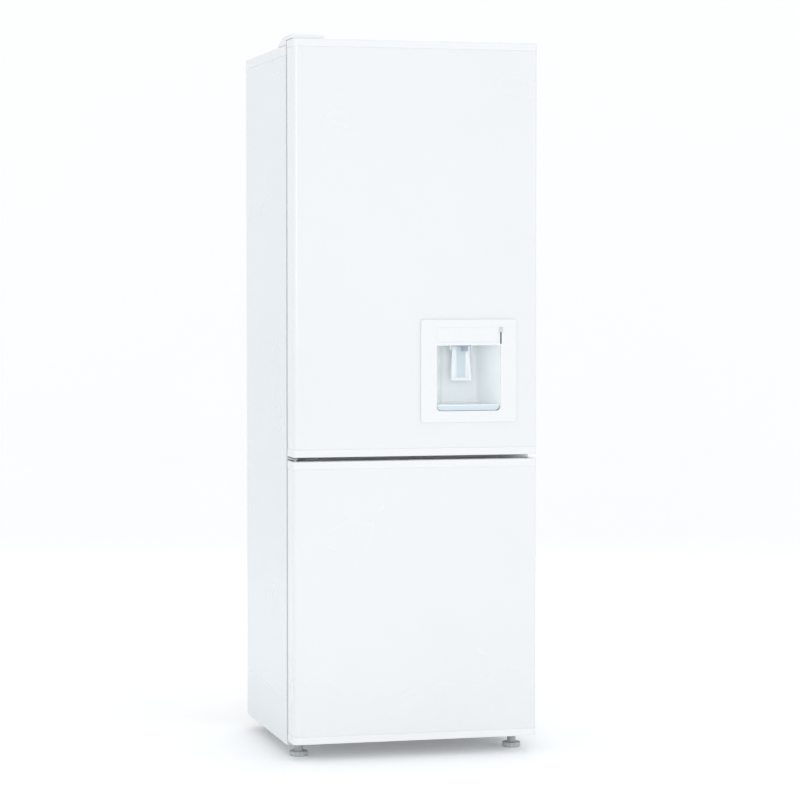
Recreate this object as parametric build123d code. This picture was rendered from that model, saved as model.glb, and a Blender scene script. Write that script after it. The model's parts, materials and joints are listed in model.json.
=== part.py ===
"""A free-standing two-door refrigerator: fridge above, freezer below, water dispenser in the upper door.

Units are millimetres. +Z is up, the doors face -Y, and the origin is on the floor at the centre of the
overall box. Both doors hinge on the left (-X). Each function makes one sub-part and every sub-part is
written to parts/NAME.step.
"""
from build123d import *
import os
from math import cos, radians, sin

# ---------------------------------------------------------------- overall sizes
WIDTH = 600.0
BODY_DEPTH = 560.0  # front of the doors to the back of the cabinet
HEIGHT = 1715.0  # floor to the top of the hinge cover
REAR_SPACE = 45.0  # the condenser stands this far off the back
SPLIT_Z = 717.0  # middle of the gap between the doors
DOOR_GAP = 10.0
DOOR_BOTTOM = 42.0
CABINET_BOTTOM = 31.0

# ---------------------------------------------------------------- sheet and wall thicknesses
SHEET = 1.0  # side, back and door steel
LINER = 1.5  # moulded inner liners, base sheet and divider strip
SIDE_WALL = 48.0  # cabinet side to inside of liner
BACK_WALL = 55.0
ROOF_WALL = 50.0
HALF_DIVIDER = 35.0
FLOOR_WALL = 64.0
FLANGE = 18.0  # side panel's return round the front
REAR_FLANGE = 12.0

# ---------------------------------------------------------------- doors
DOOR_DEPTH = 64.0
SEAL_GAP = 14.0  # door back to cabinet front
SEAL_CLEAR = 0.3
CAP_HEIGHT = 18.0  # plastic end caps
CHANNEL_END = 21.0  # the finger channel between the doors stops this far from each side
CHANNEL_FRONT = 9.0
CHANNEL_DEPTH = 24.0
CHANNEL_RISE = 15.0
SKIN_INSET = 0.8  # the caps stand this proud of the skin
EDGE_RADIUS = 12.0
GASKET_INSET = 16.0
GASKET_WIDTH = 16.0
GASKET_TOP_DROP = 40.0  # the upper seal lands on the liner's flange, below the top cover
DOOR_RETURN = 14.0
EMBOSS = 22.0  # the freezer door's raised liner
EMBOSS_SIDE_GAP = 80.0
EMBOSS_LOW_GAP = 68.0
EMBOSS_HIGH_GAP = 50.0
RIB_END_GAP = 14.0  # ribs' tops below the fridge's ceiling
RIB_LOW_GAP = 24.0

# ---------------------------------------------------------------- hinges
PIN_SIDE = 14.0  # hinge axis from the door's side
PIN_FRONT = 38.0  # hinge axis from the door's front
PIN_RADIUS = 4.0
PIN_RUN = 0.05  # running clearance round a pin
PIN_REACH = 12.0
HINGE_PLATE = 3.0
HINGE_WIDTH = 70.0
HINGE_EDGE = 4.0  # hinge plates stay this far inside the cabinet's side
HINGE_COVER_RISE = 11.0  # door top to the top of the hinge cover
HINGE_COVER_WALL = 2.5
HINGE_REACH_BACK = 92.0  # hinge cover's length behind the cabinet's front
SCREW_RADIUS = 2.4
SCREW_HEAD_RADIUS = 4.6
SCREW_HEAD = 2.6
SCREW_LENGTH = 14.0
SCREW_CLEAR = 0.3

# ---------------------------------------------------------------- top cover
TOP_COVER = 24.0
TOP_DROP = 20.0  # cabinet top below the hinge cover's top
COVER_WALL = 3.0
COVER_EDGE = 4.0

# ---------------------------------------------------------------- compressor bay
BAY_DEPTH = 180.0
BAY_HEIGHT = 225.0
STEP_WALL = 45.0
RAIL_HEIGHT = 45.0

# ---------------------------------------------------------------- feet and rollers
FOOT_RADIUS = 22.0
FOOT_DISC = 12.0
FOOT_NECK_RADIUS = 11.0
FOOT_INSET = 34.0
FOOT_SETBACK = 24.0
STUD_RADIUS = 5.0
STUD_REACH = 30.0  # stud above the cabinet's bottom
NUT_RADIUS = 9.0
NUT_HEIGHT = 10.0
ROLLER_RADIUS = 14.0
ROLLER_WIDTH = 22.0
ROLLER_INSET = 50.0
ROLLER_SETBACK = 45.0
ROLLER_PIN_RADIUS = 3.0
EAR = 2.0
EAR_GAP = 0.6

# ---------------------------------------------------------------- fridge interior
RIB_CLEAR = 24.0  # fridge wall to the door's ribs
RIB_THICK = 20.0
RIB_REACH = 185.0  # door front to the ribs' ends
LEDGE = 9.0
LEDGE_HEIGHT = 6.0
GLASS = 4.0
SHELF_CLEAR = 2.0
SHELF_FRONT_GAP = 10.5
SHELF_BACK_GAP = 9.5
SHELVES = 3
CRISPER_HEIGHT = 203.0  # fridge floor to the crisper's glass cover
TRIM_DEPTH = 12.0
TRIM_WALL = 2.0
TRIM_HEIGHT = 14.0

# ---------------------------------------------------------------- drawers
DRAWER_SIDE_GAP = 24.5  # keeps the drawers clear of the open door's inner face
DRAWER_WALL = 2.5
DRAWER_FRONT = 4.0
DRAWER_FRONT_GAP = 28.0  # freezer drawers behind the cabinet's front
CRISPER_FRONT_GAP = 8.0  # crisper behind the door ribs
SLIDE_GAP = 0.5  # a drawer runs this far above what carries it
DRAWER_BACK_GAP = 8.0
DRAWER_HEAD_GAP = 6.0
GRIP_LIP = 14.0
EVAPORATOR_TUBE = 4.0
EVAPORATOR_WIRE = 1.2
EVAPORATOR_RUNS = 8
EVAPORATOR_WIRES = 12
EVAPORATOR_PITCH = 44.0

# ---------------------------------------------------------------- control box
CONTROL_WIDTH = 170.0
CONTROL_DEPTH = 150.0
CONTROL_HEIGHT = 44.0
CONTROL_WALL = 2.5
CONTROL_SIDE_GAP = 16.0
CONTROL_BEHIND_RIBS = 25.5
DIAL_RADIUS = 17.0
DIAL_DEPTH = 12.0
DIAL_OFFSET = 80.0  # dial left of the box's right side
SPINDLE_RADIUS = 3.0
SWITCH_RADIUS = 4.0
SWITCH_OFFSET = 18.0
LENS_LENGTH = 84.0
LENS_DROP = 9.0

# ---------------------------------------------------------------- dispenser
NICHE_FROM_SIDE = 172.5  # niche's middle from the door's right side
NICHE_WIDTH = 157.5
NICHE_RISE = 111.0  # gap's middle to the niche's floor
NICHE_HEIGHT = 156.0
NICHE_DEPTH = 88.0
NICHE_FLARE = 34.0  # each side wall leans in by this from front to back
NICHE_WALL = 2.5
NICHE_LOW_CORNER = 10.0  # its mouth's lower corners, and the tray's
NICHE_HIGH_CORNER = 3.0
BEZEL_WIDTH = 235.5
BEZEL_BELOW = 27.0
BEZEL_ABOVE = 62.0
BEZEL_PROUD = 4.0
BEZEL_CORNER = 6.0
BULGE_WALL = 30.0  # insulation kept round and behind the niche
BULGE_BACK = 22.0
PADDLE_WIDTH = 54.0  # at its bottom
PADDLE_TOP_WIDTH = 46.0
PADDLE_LENGTH = 79.0
PADDLE_DEPTH = 68.0  # pivot from the door's front
PADDLE_THICK = 3.0
PADDLE_RIB = 10.0
PADDLE_EDGE = 12.0  # width of its side ribs
PIVOT_RADIUS = 3.0
PIVOT_DROP = 7.0
SPOUT_RADIUS = 8.0
SPOUT_BORE = 4.0
SPOUT_DEPTH = 36.0
SPOUT_DROP = 15.0
SPOUT_FEED = 52.0  # niche's roof to the feed pipe
TRAY_HEIGHT = 12.0
TRAY_CLEAR = 0.6
TRAY_WALL = 1.8
TRAY_DEPTH = 70.0
GRILLE_THICK = 2.0
GRILLE_SLOTS = 9
GRILLE_SLOT = 4.0
LEDGE_DEPTH = 14.0
LEDGE_RISE = 18.0
LOCK_OFFSET = 79.5  # slot right of the niche's middle
LOCK_SLOT = 4.0
LOCK_RISE = 3.0
LOCK_LENGTH = 40.0
LOCK_KNOB = 12.0
LOCK_KNOB_WIDTH = 9.0
LOCK_STEM = 3.2
KNOB_PROUD = 6.5  # the lock's knob stands this far in front of the doors

# ---------------------------------------------------------------- water tank and door bins
TANK_SIDE_GAP = 1.5  # tank to the door's right rib
TANK_DEPTH = 84.0
TANK_HEIGHT = 178.0
TANK_WALL = 2.5
TANK_GAP = 1.0
LID_THICK = 3.0
FLAP_DEPTH = 50.0
FLAP_HALF = 40.0
BIN_CLEAR = 0.5
BIN_WALL = 2.5
BINS = 2
BIN_LOW_GAP = 62.0  # tank lid to the lower bin
BIN_HIGH_GAP = 155.0  # upper bin's floor to the ribs' tops
BIN_DEEP = 85.0
BOTTLE_BIN_RISE = 49.0  # gap's middle to the bottle bin's floor
BOTTLE_BIN_HEIGHT = 110.0
BIN_REST = 5.0

# ---------------------------------------------------------------- side grips
GRIP_HEIGHT = 170.0
GRIP_WIDTH = 30.0
GRIP_DEPTH = 24.0
GRIP_WALL = 2.0
GRIP_FRONT = 19.0
GRIP_FROM_GAP = 45.0  # from the gap between the doors to the pocket

# ---------------------------------------------------------------- cooling circuit
CONDENSER_TUBE = 2.5
CONDENSER_WIRE = 1.0
CONDENSER_SIDE_GAP = 72.0
CONDENSER_LOW_GAP = 74.0  # bay's roof to the lowest run
CONDENSER_RUNS = 16
CONDENSER_PITCH = 80.0
CONDENSER_WIRES = 14
STRAP = 1.5
STRAP_WIDTH = 16.0
STRAP_FOOT = 24.0
COMPRESSOR_X = -95.0
COMPRESSOR_RADIUS = 74.0
COMPRESSOR_HEIGHT = 150.0
GROMMET_RADIUS = 10.0
GROMMET_HEIGHT = 9.0
PIPE_RADIUS = 3.0
DRIER_RADIUS = 9.0

# ---------------------------------------------------------------- places worked out from the sizes
SIDE = WIDTH / 2
FRONT_Y = -(BODY_DEPTH + REAR_SPACE - KNOB_PROUD) / 2
BACK_Y = FRONT_Y + BODY_DEPTH
DOOR_BACK = FRONT_Y + DOOR_DEPTH
CABINET_Y = DOOR_BACK + SEAL_GAP
REAR_Y = BACK_Y + REAR_SPACE
DOOR_TOP = HEIGHT - HINGE_COVER_RISE
CABINET_TOP = HEIGHT - TOP_DROP
SHELL_TOP = CABINET_TOP - TOP_COVER
CAVITY_X = SIDE - SIDE_WALL
CAVITY_BACK = BACK_Y - BACK_WALL
FRIDGE_FLOOR = SPLIT_Z + HALF_DIVIDER
FRIDGE_TOP = SHELL_TOP - ROOF_WALL
FREEZER_FLOOR = CABINET_BOTTOM + FLOOR_WALL
FREEZER_TOP = SPLIT_Z - HALF_DIVIDER
BAY_Y = BACK_Y - BAY_DEPTH
BAY_TOP = CABINET_BOTTOM + BAY_HEIGHT
STEP_Y = BAY_Y - STEP_WALL
STEP_Z = BAY_TOP + STEP_WALL
STRIP_HALF = 22.0
UPPER_Z = (SPLIT_Z + DOOR_GAP / 2, DOOR_TOP)
LOWER_Z = (DOOR_BOTTOM, SPLIT_Z - DOOR_GAP / 2)
CRISPER_COVER_Z = FRIDGE_FLOOR + CRISPER_HEIGHT
SHELF_STEP = (FRIDGE_TOP - CRISPER_COVER_Z) / (SHELVES + 1)
SHELF_HEIGHTS = [CRISPER_COVER_Z + (k + 1) * SHELF_STEP for k in range(SHELVES)]
DRAWER_WIDTH = 2 * (CAVITY_X - DRAWER_SIDE_GAP)
CONTROL_RIGHT = CAVITY_X - CONTROL_SIDE_GAP
CONDENSER_HALF = SIDE - CONDENSER_SIDE_GAP
CONDENSER_LOW = BAY_TOP + CONDENSER_LOW_GAP
NICHE_X = SIDE - NICHE_FROM_SIDE
NICHE_BOTTOM = SPLIT_Z + NICHE_RISE
NICHE_TOP = NICHE_BOTTOM + NICHE_HEIGHT
BEZEL_BOTTOM = NICHE_BOTTOM - BEZEL_BELOW
BEZEL_TOP = NICHE_TOP + BEZEL_ABOVE
PADDLE_BOTTOM = NICHE_TOP - PIVOT_DROP - PADDLE_LENGTH
SPOUT_FEED_Z = NICHE_TOP + SPOUT_FEED
LOCK_X = NICHE_X + LOCK_OFFSET
LOCK_BOTTOM = NICHE_TOP + LOCK_RISE
LOCK_TOP = LOCK_BOTTOM + LOCK_LENGTH
PIN_X = -SIDE + PIN_SIDE
PIN_Y = FRONT_Y + PIN_FRONT
SKIN_Y = FRONT_Y + SKIN_INSET
RIB_OUTER = CAVITY_X - RIB_CLEAR
RIB_INNER = RIB_OUTER - RIB_THICK
RIB_END_Y = FRONT_Y + RIB_REACH
SHELF_FRONT = RIB_END_Y + SHELF_FRONT_GAP
SHELF_BACK = CAVITY_BACK - SHELF_BACK_GAP
FOOT_X = SIDE - FOOT_INSET
FOOT_Y = CABINET_Y + FOOT_SETBACK
ROLLER_X = SIDE - ROLLER_INSET
ROLLER_Y = BACK_Y - ROLLER_SETBACK
BULGE_HALF = NICHE_WIDTH / 2 - NICHE_FLARE + NICHE_WALL + BULGE_WALL
BULGE_Y = FRONT_Y + NICHE_DEPTH + NICHE_WALL + BULGE_BACK
BULGE_Z = (NICHE_BOTTOM - NICHE_WALL - BULGE_WALL, NICHE_TOP + NICHE_WALL + BULGE_WALL)
RIB_Z = (UPPER_Z[0] + CAP_HEIGHT + RIB_LOW_GAP, FRIDGE_TOP - RIB_END_GAP)
TANK_Z = BULGE_Z[1] + LINER + TANK_GAP / 2
TANK_TOP = TANK_Z + TANK_HEIGHT
TANK_HALF = RIB_INNER - NICHE_X - TANK_SIDE_GAP
BIN_LOW = TANK_TOP + LID_THICK + BIN_LOW_GAP
BIN_STEP = (RIB_Z[1] - BIN_HIGH_GAP - BIN_LOW) / (BINS - 1)
BIN_HEIGHTS = [BIN_LOW + k * BIN_STEP for k in range(BINS)]
BOTTLE_BIN_Z = SPLIT_Z + BOTTLE_BIN_RISE
EVAPORATOR_LOW_Z = STEP_Z + EVAPORATOR_TUBE + 1.0
EVAPORATOR_Z = (EVAPORATOR_LOW_Z + FREEZER_TOP) / 2  # tube's centre


# ================================================================ helpers
def block(x0, x1, y0, y1, z0, z1):
    """A box given by its six faces."""
    return Pos((x0 + x1) / 2, (y0 + y1) / 2, (z0 + z1) / 2) * Box(x1 - x0, y1 - y0, z1 - z0)


def rod(point, radius, length, direction):
    """A cylinder that starts at point and runs along direction."""
    return extrude(Plane(point, z_dir=direction) * Circle(radius), length)


def soft_block(x0, x1, y0, y1, z0, z1, radius, axis=Axis.Z):
    """A box with the four edges along axis rounded."""
    body = block(x0, x1, y0, y1, z0, z1)
    return fillet(body.edges().filter_by(axis), radius)


def plate(points, z0, z1):
    """A flat outline extruded from z0 to z1."""
    outline = make_face(Polyline(*points, close=True))
    return Pos(0, 0, z0) * extrude(outline, z1 - z0)


def tube(points, radius, bends):
    """A round bar along straight runs joined by tangent arcs."""
    path = FilletPolyline(*points, radius=bends)
    start = path.edges()[0]
    return sweep(Plane(start @ 0, z_dir=start % 0) * Circle(radius), path=path)


def screw(point, direction, length=SCREW_LENGTH):
    """A pan-head screw: its head sits on point and its shank runs along direction."""
    away = tuple(-c for c in direction)
    return rod(point, SCREW_RADIUS, length, direction) + rod(point, SCREW_HEAD_RADIUS, SCREW_HEAD, away)


def screw_hole(point, direction, length=SCREW_LENGTH):
    """The room that a screw's shank takes, with clearance."""
    return rod(point, SCREW_RADIUS + SCREW_CLEAR, length + 1, direction)


def tray(x0, x1, y0, y1, z0, z1, wall):
    """An open-topped box."""
    inside = block(x0 + wall, x1 - wall, y0 + wall, y1 - wall, z0 + wall, z1 + 1)
    return block(x0, x1, y0, y1, z0, z1) - inside


# ================================================================ screws that hold the hinges
TOP_SCREWS = [(x - SIDE, CABINET_Y + back, CABINET_TOP + HINGE_PLATE)
              for x, back in ((20, 30), (54, 30), (37, 62))]
MIDDLE_SCREWS = [(x - SIDE, CABINET_Y - HINGE_PLATE, SPLIT_Z + z) for x, z in ((14, 9), (42, -9), (64, 9))]
BOTTOM_SCREWS = [(x - SIDE, CABINET_Y - HINGE_PLATE, CABINET_BOTTOM + 16) for x in (30, 50, 68)]
DOWN, BACKWARD = (0, 0, -1), (0, 1, 0)


def cut_screws(body, points, direction):
    """body with room for each screw's shank."""
    for point in points:
        body -= screw_hole(point, direction)
    return body


def hinge_screws():
    down = [screw(p, DOWN) for p in TOP_SCREWS]
    return Compound(down + [screw(p, BACKWARD) for p in MIDDLE_SCREWS + BOTTOM_SCREWS])


# ================================================================ cabinet
def side_panel(side):
    """One painted side with its front and rear returns, bent at the front with a small radius."""
    web = block(SIDE - SHEET, SIDE, CABINET_Y, BACK_Y, CABINET_BOTTOM, SHELL_TOP)
    front = block(SIDE - FLANGE, SIDE, CABINET_Y, CABINET_Y + SHEET, CABINET_BOTTOM, SHELL_TOP)
    rear = block(SIDE - REAR_FLANGE, SIDE, BACK_Y - 2 * SHEET, BACK_Y - SHEET, CABINET_BOTTOM, SHELL_TOP)
    panel = web + front + rear
    bend = panel.edges().filter_by(Axis.Z).sort_by(lambda e: (e @ 0.5).Y - (e @ 0.5).X)[0]
    panel = fillet(bend, 0.9 * SHEET)
    if side < 0:
        panel = mirror(panel, Plane.YZ)
        panel = cut_screws(panel, MIDDLE_SCREWS + BOTTOM_SCREWS, BACKWARD)
    return panel


def back_panel():
    """The flat back sheet with the straps that carry the condenser."""
    sheet = block(SHEET - SIDE, SIDE - SHEET, BACK_Y - SHEET, BACK_Y, BAY_TOP, SHELL_TOP)
    return Compound([sheet, *condenser_straps()])


def top_cover():
    """The plastic cap over the cabinet: a shallow lid with rounded upper edges."""
    lid = block(-SIDE, SIDE, CABINET_Y, BACK_Y, SHELL_TOP, CABINET_TOP)
    lid = fillet(lid.edges().group_by(Axis.Z)[-1], COVER_EDGE)
    inside = block(COVER_WALL - SIDE, SIDE - COVER_WALL, CABINET_Y + COVER_WALL, BACK_Y - COVER_WALL,
                   SHELL_TOP - 1, CABINET_TOP - COVER_WALL)
    return cut_screws(lid - inside, TOP_SCREWS, DOWN)


def fridge_space(grow=0.0):
    """The fridge compartment, or the liner's outside when grown."""
    return block(-CAVITY_X - grow, CAVITY_X + grow, CABINET_Y, CAVITY_BACK + grow,
                 FRIDGE_FLOOR - grow, FRIDGE_TOP + grow)


def freezer_space(grow=0.0):
    """The freezer compartment with its step over the compressor bay."""
    upper = block(-CAVITY_X - grow, CAVITY_X + grow, CABINET_Y, CAVITY_BACK + grow,
                  STEP_Z - grow, FREEZER_TOP + grow)
    x = CAVITY_X + grow
    lower = block(-x, x, CABINET_Y, STEP_Y + grow, FREEZER_FLOOR - grow, STEP_Z + 1)
    return upper + lower


def foot_room():
    """Room above each foot for its stud and nut."""
    radius = NUT_RADIUS + 1
    top = STUD_REACH + 5
    return [rod((s * FOOT_X, FOOT_Y, CABINET_BOTTOM), radius, top, (0, 0, 1)) for s in (-1, 1)]


def cabinet_foam():
    """The foamed-in insulation, which fills everything between the skins and the liners."""
    base = CABINET_BOTTOM + LINER
    foam = block(SHEET - SIDE, SIDE - SHEET, CABINET_Y + LINER, BACK_Y - 2 * SHEET, base, SHELL_TOP)
    foam += block(COVER_WALL - SIDE, SIDE - COVER_WALL, CABINET_Y + COVER_WALL, BACK_Y - COVER_WALL,
                  SHELL_TOP, CABINET_TOP - COVER_WALL)
    foam -= block(-SIDE, SIDE, BAY_Y - LINER, BACK_Y, CABINET_BOTTOM, BAY_TOP + LINER)
    foam -= fridge_space(LINER)
    foam -= freezer_space(LINER)
    for room in foot_room():
        foam -= room
    foam = cut_screws(foam, TOP_SCREWS, DOWN)
    return cut_screws(foam, MIDDLE_SCREWS + BOTTOM_SCREWS, BACKWARD)


def shelf_ledges(heights, front, back):
    """Moulded ledges on both sides of a compartment, with their tops at the given heights."""
    ledges = []
    for z in heights:
        for s in (-1, 1):
            x0, x1 = sorted((s * (CAVITY_X - LEDGE), s * CAVITY_X))
            ledges.append(block(x0, x1, front, back, z - LEDGE_HEIGHT, z))
    return ledges


def liner_flange(z0, z1):
    """The part of a liner that faces the door seal."""
    return block(FLANGE - SIDE, SIDE - FLANGE, CABINET_Y, CABINET_Y + LINER, z0, z1)


def fridge_liner():
    shell = fridge_space(LINER) + liner_flange(SPLIT_Z + STRIP_HALF, SHELL_TOP)
    shell -= fridge_space()
    for ledge in shelf_ledges((*SHELF_HEIGHTS, CRISPER_COVER_Z), SHELF_FRONT, CAVITY_BACK):
        shell += ledge
    return shell


def freezer_liner():
    shell = freezer_space(LINER) + liner_flange(CABINET_BOTTOM + RAIL_HEIGHT, SPLIT_Z - STRIP_HALF)
    shell -= freezer_space()
    rests = (EVAPORATOR_Z - EVAPORATOR_TUBE, EVAPORATOR_LOW_Z - EVAPORATOR_TUBE)
    for ledge in shelf_ledges(rests, CABINET_Y + DRAWER_FRONT_GAP, CAVITY_BACK):
        shell += ledge & freezer_space()
    return shell


def divider_strip():
    """The steel strip across the cabinet's front between the two compartments."""
    strip = block(FLANGE - SIDE, SIDE - FLANGE, CABINET_Y, CABINET_Y + LINER,
                  SPLIT_Z - STRIP_HALF, SPLIT_Z + STRIP_HALF)
    return cut_screws(strip, MIDDLE_SCREWS, BACKWARD)


def base_frame():
    """One bent sheet: front rail, floor, the bay's front wall and roof, foot nuts and roller ears."""
    inner = SIDE - SHEET
    low, back = CABINET_BOTTOM, BACK_Y - 2 * SHEET
    frame = block(-inner, inner, CABINET_Y + LINER, back, low, low + LINER)
    frame += block(FLANGE - SIDE, SIDE - FLANGE, CABINET_Y, CABINET_Y + LINER, low, low + RAIL_HEIGHT)
    frame += block(-inner, inner, BAY_Y - LINER, BAY_Y, low, BAY_TOP + LINER)
    frame += block(-inner, inner, BAY_Y - LINER, back, BAY_TOP, BAY_TOP + LINER)
    for s in (-1, 1):
        frame += rod((s * FOOT_X, FOOT_Y, low), NUT_RADIUS, LINER + NUT_HEIGHT, (0, 0, 1))
        frame -= rod((s * FOOT_X, FOOT_Y, low - 1), STUD_RADIUS + PIN_RUN, NUT_HEIGHT + 9, (0, 0, 1))
        for t in (-1, 1):
            near = s * ROLLER_X + t * (ROLLER_WIDTH / 2 + EAR_GAP)
            far = near + t * EAR
            x0, x1 = sorted((near, far))
            ear = block(x0, x1, ROLLER_Y - 11, ROLLER_Y + 11, ROLLER_RADIUS, low + LINER)
            frame += ear + rod((min(near, far), ROLLER_Y, ROLLER_RADIUS), 11, EAR, (1, 0, 0))
        half = ROLLER_WIDTH / 2 + EAR_GAP + EAR
        frame += rod((s * ROLLER_X - half, ROLLER_Y, ROLLER_RADIUS), ROLLER_PIN_RADIUS, 2 * half, (1, 0, 0))
    return cut_screws(frame, BOTTOM_SCREWS, BACKWARD)


def rear_roller(side):
    """A nylon wheel with a hub recess on each face."""
    x = side * ROLLER_X - ROLLER_WIDTH / 2
    wheel = rod((x, ROLLER_Y, ROLLER_RADIUS), ROLLER_RADIUS, ROLLER_WIDTH, (1, 0, 0))
    wheel = fillet(wheel.edges(), 1.5)
    for start in (x, x + ROLLER_WIDTH - 3):
        ring = rod((start, ROLLER_Y, ROLLER_RADIUS), ROLLER_RADIUS - 3.5, 3, (1, 0, 0))
        wheel -= ring - rod((start, ROLLER_Y, ROLLER_RADIUS), ROLLER_PIN_RADIUS + 3, 3, (1, 0, 0))
    bore = ROLLER_PIN_RADIUS + PIN_RUN
    return wheel - rod((x - 1, ROLLER_Y, ROLLER_RADIUS), bore, ROLLER_WIDTH + 2, (1, 0, 0))


def front_foot(side):
    """A levelling foot: a moulded disc with finger notches, a hexagon neck and a threaded stud."""
    x = side * FOOT_X
    disc = fillet(rod((x, FOOT_Y, 0), FOOT_RADIUS, FOOT_DISC, (0, 0, 1)).edges(), 1.5)
    for k in range(12):
        a = radians(30 * k)
        reach = FOOT_RADIUS + 1.5
        disc -= rod((x + reach * cos(a), FOOT_Y + reach * sin(a), 2), 3, FOOT_DISC, (0, 0, 1))
    hexagon = RegularPolygon(FOOT_NECK_RADIUS, 6)
    neck = Pos(x, FOOT_Y, FOOT_DISC) * extrude(hexagon, CABINET_BOTTOM - FOOT_DISC - 1)
    stud = rod((x, FOOT_Y, FOOT_DISC), STUD_RADIUS, CABINET_BOTTOM + STUD_REACH - FOOT_DISC, (0, 0, 1))
    return disc + neck + stud


# ================================================================ hinges
def hinge_pin(z, length, up):
    return rod((PIN_X, PIN_Y, z), PIN_RADIUS, length, (0, 0, 1 if up else -1))


def hinge_arm(z0, z1, back):
    """A flat arm with a round nose about the hinge axis."""
    nose = PIN_SIDE - HINGE_EDGE
    arm = rod((PIN_X, PIN_Y, z0), nose, z1 - z0, (0, 0, 1))
    x = PIN_X - nose
    taper = [(x, PIN_Y), (PIN_X + nose, PIN_Y), (x + HINGE_WIDTH, back), (x, back)]
    return arm + plate(taper, z0, z1)


def top_hinge():
    """A cranked plate screwed down on the cabinet, with its arm over the door and a pin pointing down."""
    arm_z = DOOR_TOP + 1.5
    low = CABINET_TOP
    back = CABINET_Y + 80
    x0 = PIN_X - PIN_SIDE + HINGE_EDGE
    arm = hinge_arm(arm_z, arm_z + HINGE_PLATE, CABINET_Y + 12)
    rise = CABINET_Y + 12
    step = block(x0, x0 + HINGE_WIDTH, rise - HINGE_PLATE, rise, low, arm_z + HINGE_PLATE)
    foot = block(x0, x0 + HINGE_WIDTH, CABINET_Y + 12 - HINGE_PLATE, back, low, low + HINGE_PLATE)
    body = arm + step + foot + hinge_pin(arm_z, 1.5 + PIN_REACH, False)
    return cut_screws(body, [(x, y, z + 1) for x, y, z in TOP_SCREWS], DOWN)


def middle_hinge():
    """A plate between the doors, with a pin up and a pin down, on a flange screwed to the cabinet."""
    low = SPLIT_Z - HINGE_PLATE / 2
    x0 = PIN_X - PIN_SIDE + HINGE_EDGE
    body = hinge_arm(low, low + HINGE_PLATE, CABINET_Y)
    body += block(x0, x0 + HINGE_WIDTH, CABINET_Y - HINGE_PLATE, CABINET_Y, SPLIT_Z - 16, SPLIT_Z + 16)
    reach = DOOR_GAP / 2 + PIN_REACH
    body += hinge_pin(SPLIT_Z, reach, True) + hinge_pin(SPLIT_Z, reach, False)
    return cut_screws(body, [(x, y - 1, z) for x, y, z in MIDDLE_SCREWS], BACKWARD)


def bottom_hinge():
    """An angle plate under the lower door with a pin that points up."""
    top = DOOR_BOTTOM - 2
    x0 = PIN_X - PIN_SIDE + HINGE_EDGE
    body = hinge_arm(top - HINGE_PLATE, top, CABINET_Y)
    z0 = CABINET_BOTTOM + 2
    body += block(x0, x0 + HINGE_WIDTH, CABINET_Y - HINGE_PLATE, CABINET_Y, z0, z0 + 22)
    body += hinge_pin(top, 2 + PIN_REACH, True)
    return cut_screws(body, [(x, y - 1, z) for x, y, z in BOTTOM_SCREWS], BACKWARD)


def hinge_cover():
    """The plastic hood over the top hinge: level over the door, then sloping down to the cabinet's top."""
    x0 = -SIDE + 0.5
    x1 = x0 + HINGE_WIDTH + 9
    front = FRONT_Y + 14
    back = CABINET_Y + HINGE_REACH_BACK
    slope = CABINET_Y + 26

    def hood(inset, low_front, low_back):
        top = HEIGHT - inset
        side = [(front + inset, low_front), (front + inset, top), (slope, top),
                (back - inset, CABINET_TOP + 5 - inset), (back - inset, low_back),
                (CABINET_Y + inset, low_back), (CABINET_Y + inset, low_front)]
        outline = make_face(Polyline(*side, close=True))
        face = Plane((x0 + inset, 0, 0), x_dir=(0, 1, 0), z_dir=(1, 0, 0)) * outline
        return extrude(face, x1 - x0 - 2 * inset)

    outer = hood(0, DOOR_TOP + 1, CABINET_TOP)
    outer = fillet(outer.edges().filter_by(Axis.X).group_by(Axis.Z)[-1], 4)
    return outer - hood(HINGE_COVER_WALL, DOOR_TOP, CABINET_TOP - 1)


# ================================================================ doors
def door_core(z, inset, back):
    """The plan of a door, with round front edges, between two heights."""
    body = block(inset - SIDE, SIDE - inset, FRONT_Y + inset, back, z[0], z[1])
    return fillet(body.edges().filter_by(Axis.Z).group_by(Axis.Y)[0], EDGE_RADIUS - inset)


def skin_span(z):
    return z[0] + CAP_HEIGHT, z[1] - CAP_HEIGHT


def grip_z(z, upper):
    """The span of the finger grip on the right side, near the gap between the doors."""
    low = z[0] + GRIP_FROM_GAP if upper else z[1] - GRIP_FROM_GAP - GRIP_HEIGHT
    return low, low + GRIP_HEIGHT


def grip_body(z, grow, mouth=0.0):
    """The finger pocket's inside, or its outside when grown."""
    y0 = FRONT_Y + GRIP_FRONT
    x1 = SIDE - SKIN_INSET + mouth
    x0 = SIDE - SKIN_INSET - GRIP_DEPTH
    body = block(x0 - grow, x1, y0 - grow, y0 + GRIP_WIDTH + grow, z[0] - grow, z[1] + grow)
    return fillet(body.edges().filter_by(Axis.X), 4 + grow)


def side_grip(z):
    return grip_body(z, GRIP_WALL) - grip_body(z, 0, 1)


def door_skin(z, grip):
    """The painted steel wrap: front, both sides and the returns behind the liner."""
    span = skin_span(z)
    back = DOOR_BACK - LINER
    inside = door_core((span[0] - 1, span[1] + 1), SKIN_INSET + SHEET, back + 1)
    skin = door_core(span, SKIN_INSET, back) - inside
    for s in (-1, 1):
        x0, x1 = sorted((s * (SIDE - SKIN_INSET - DOOR_RETURN), s * (SIDE - SKIN_INSET)))
        skin += block(x0, x1, back - SHEET, back, *span)
    return skin - grip_body(grip, GRIP_WALL, 1)


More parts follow.
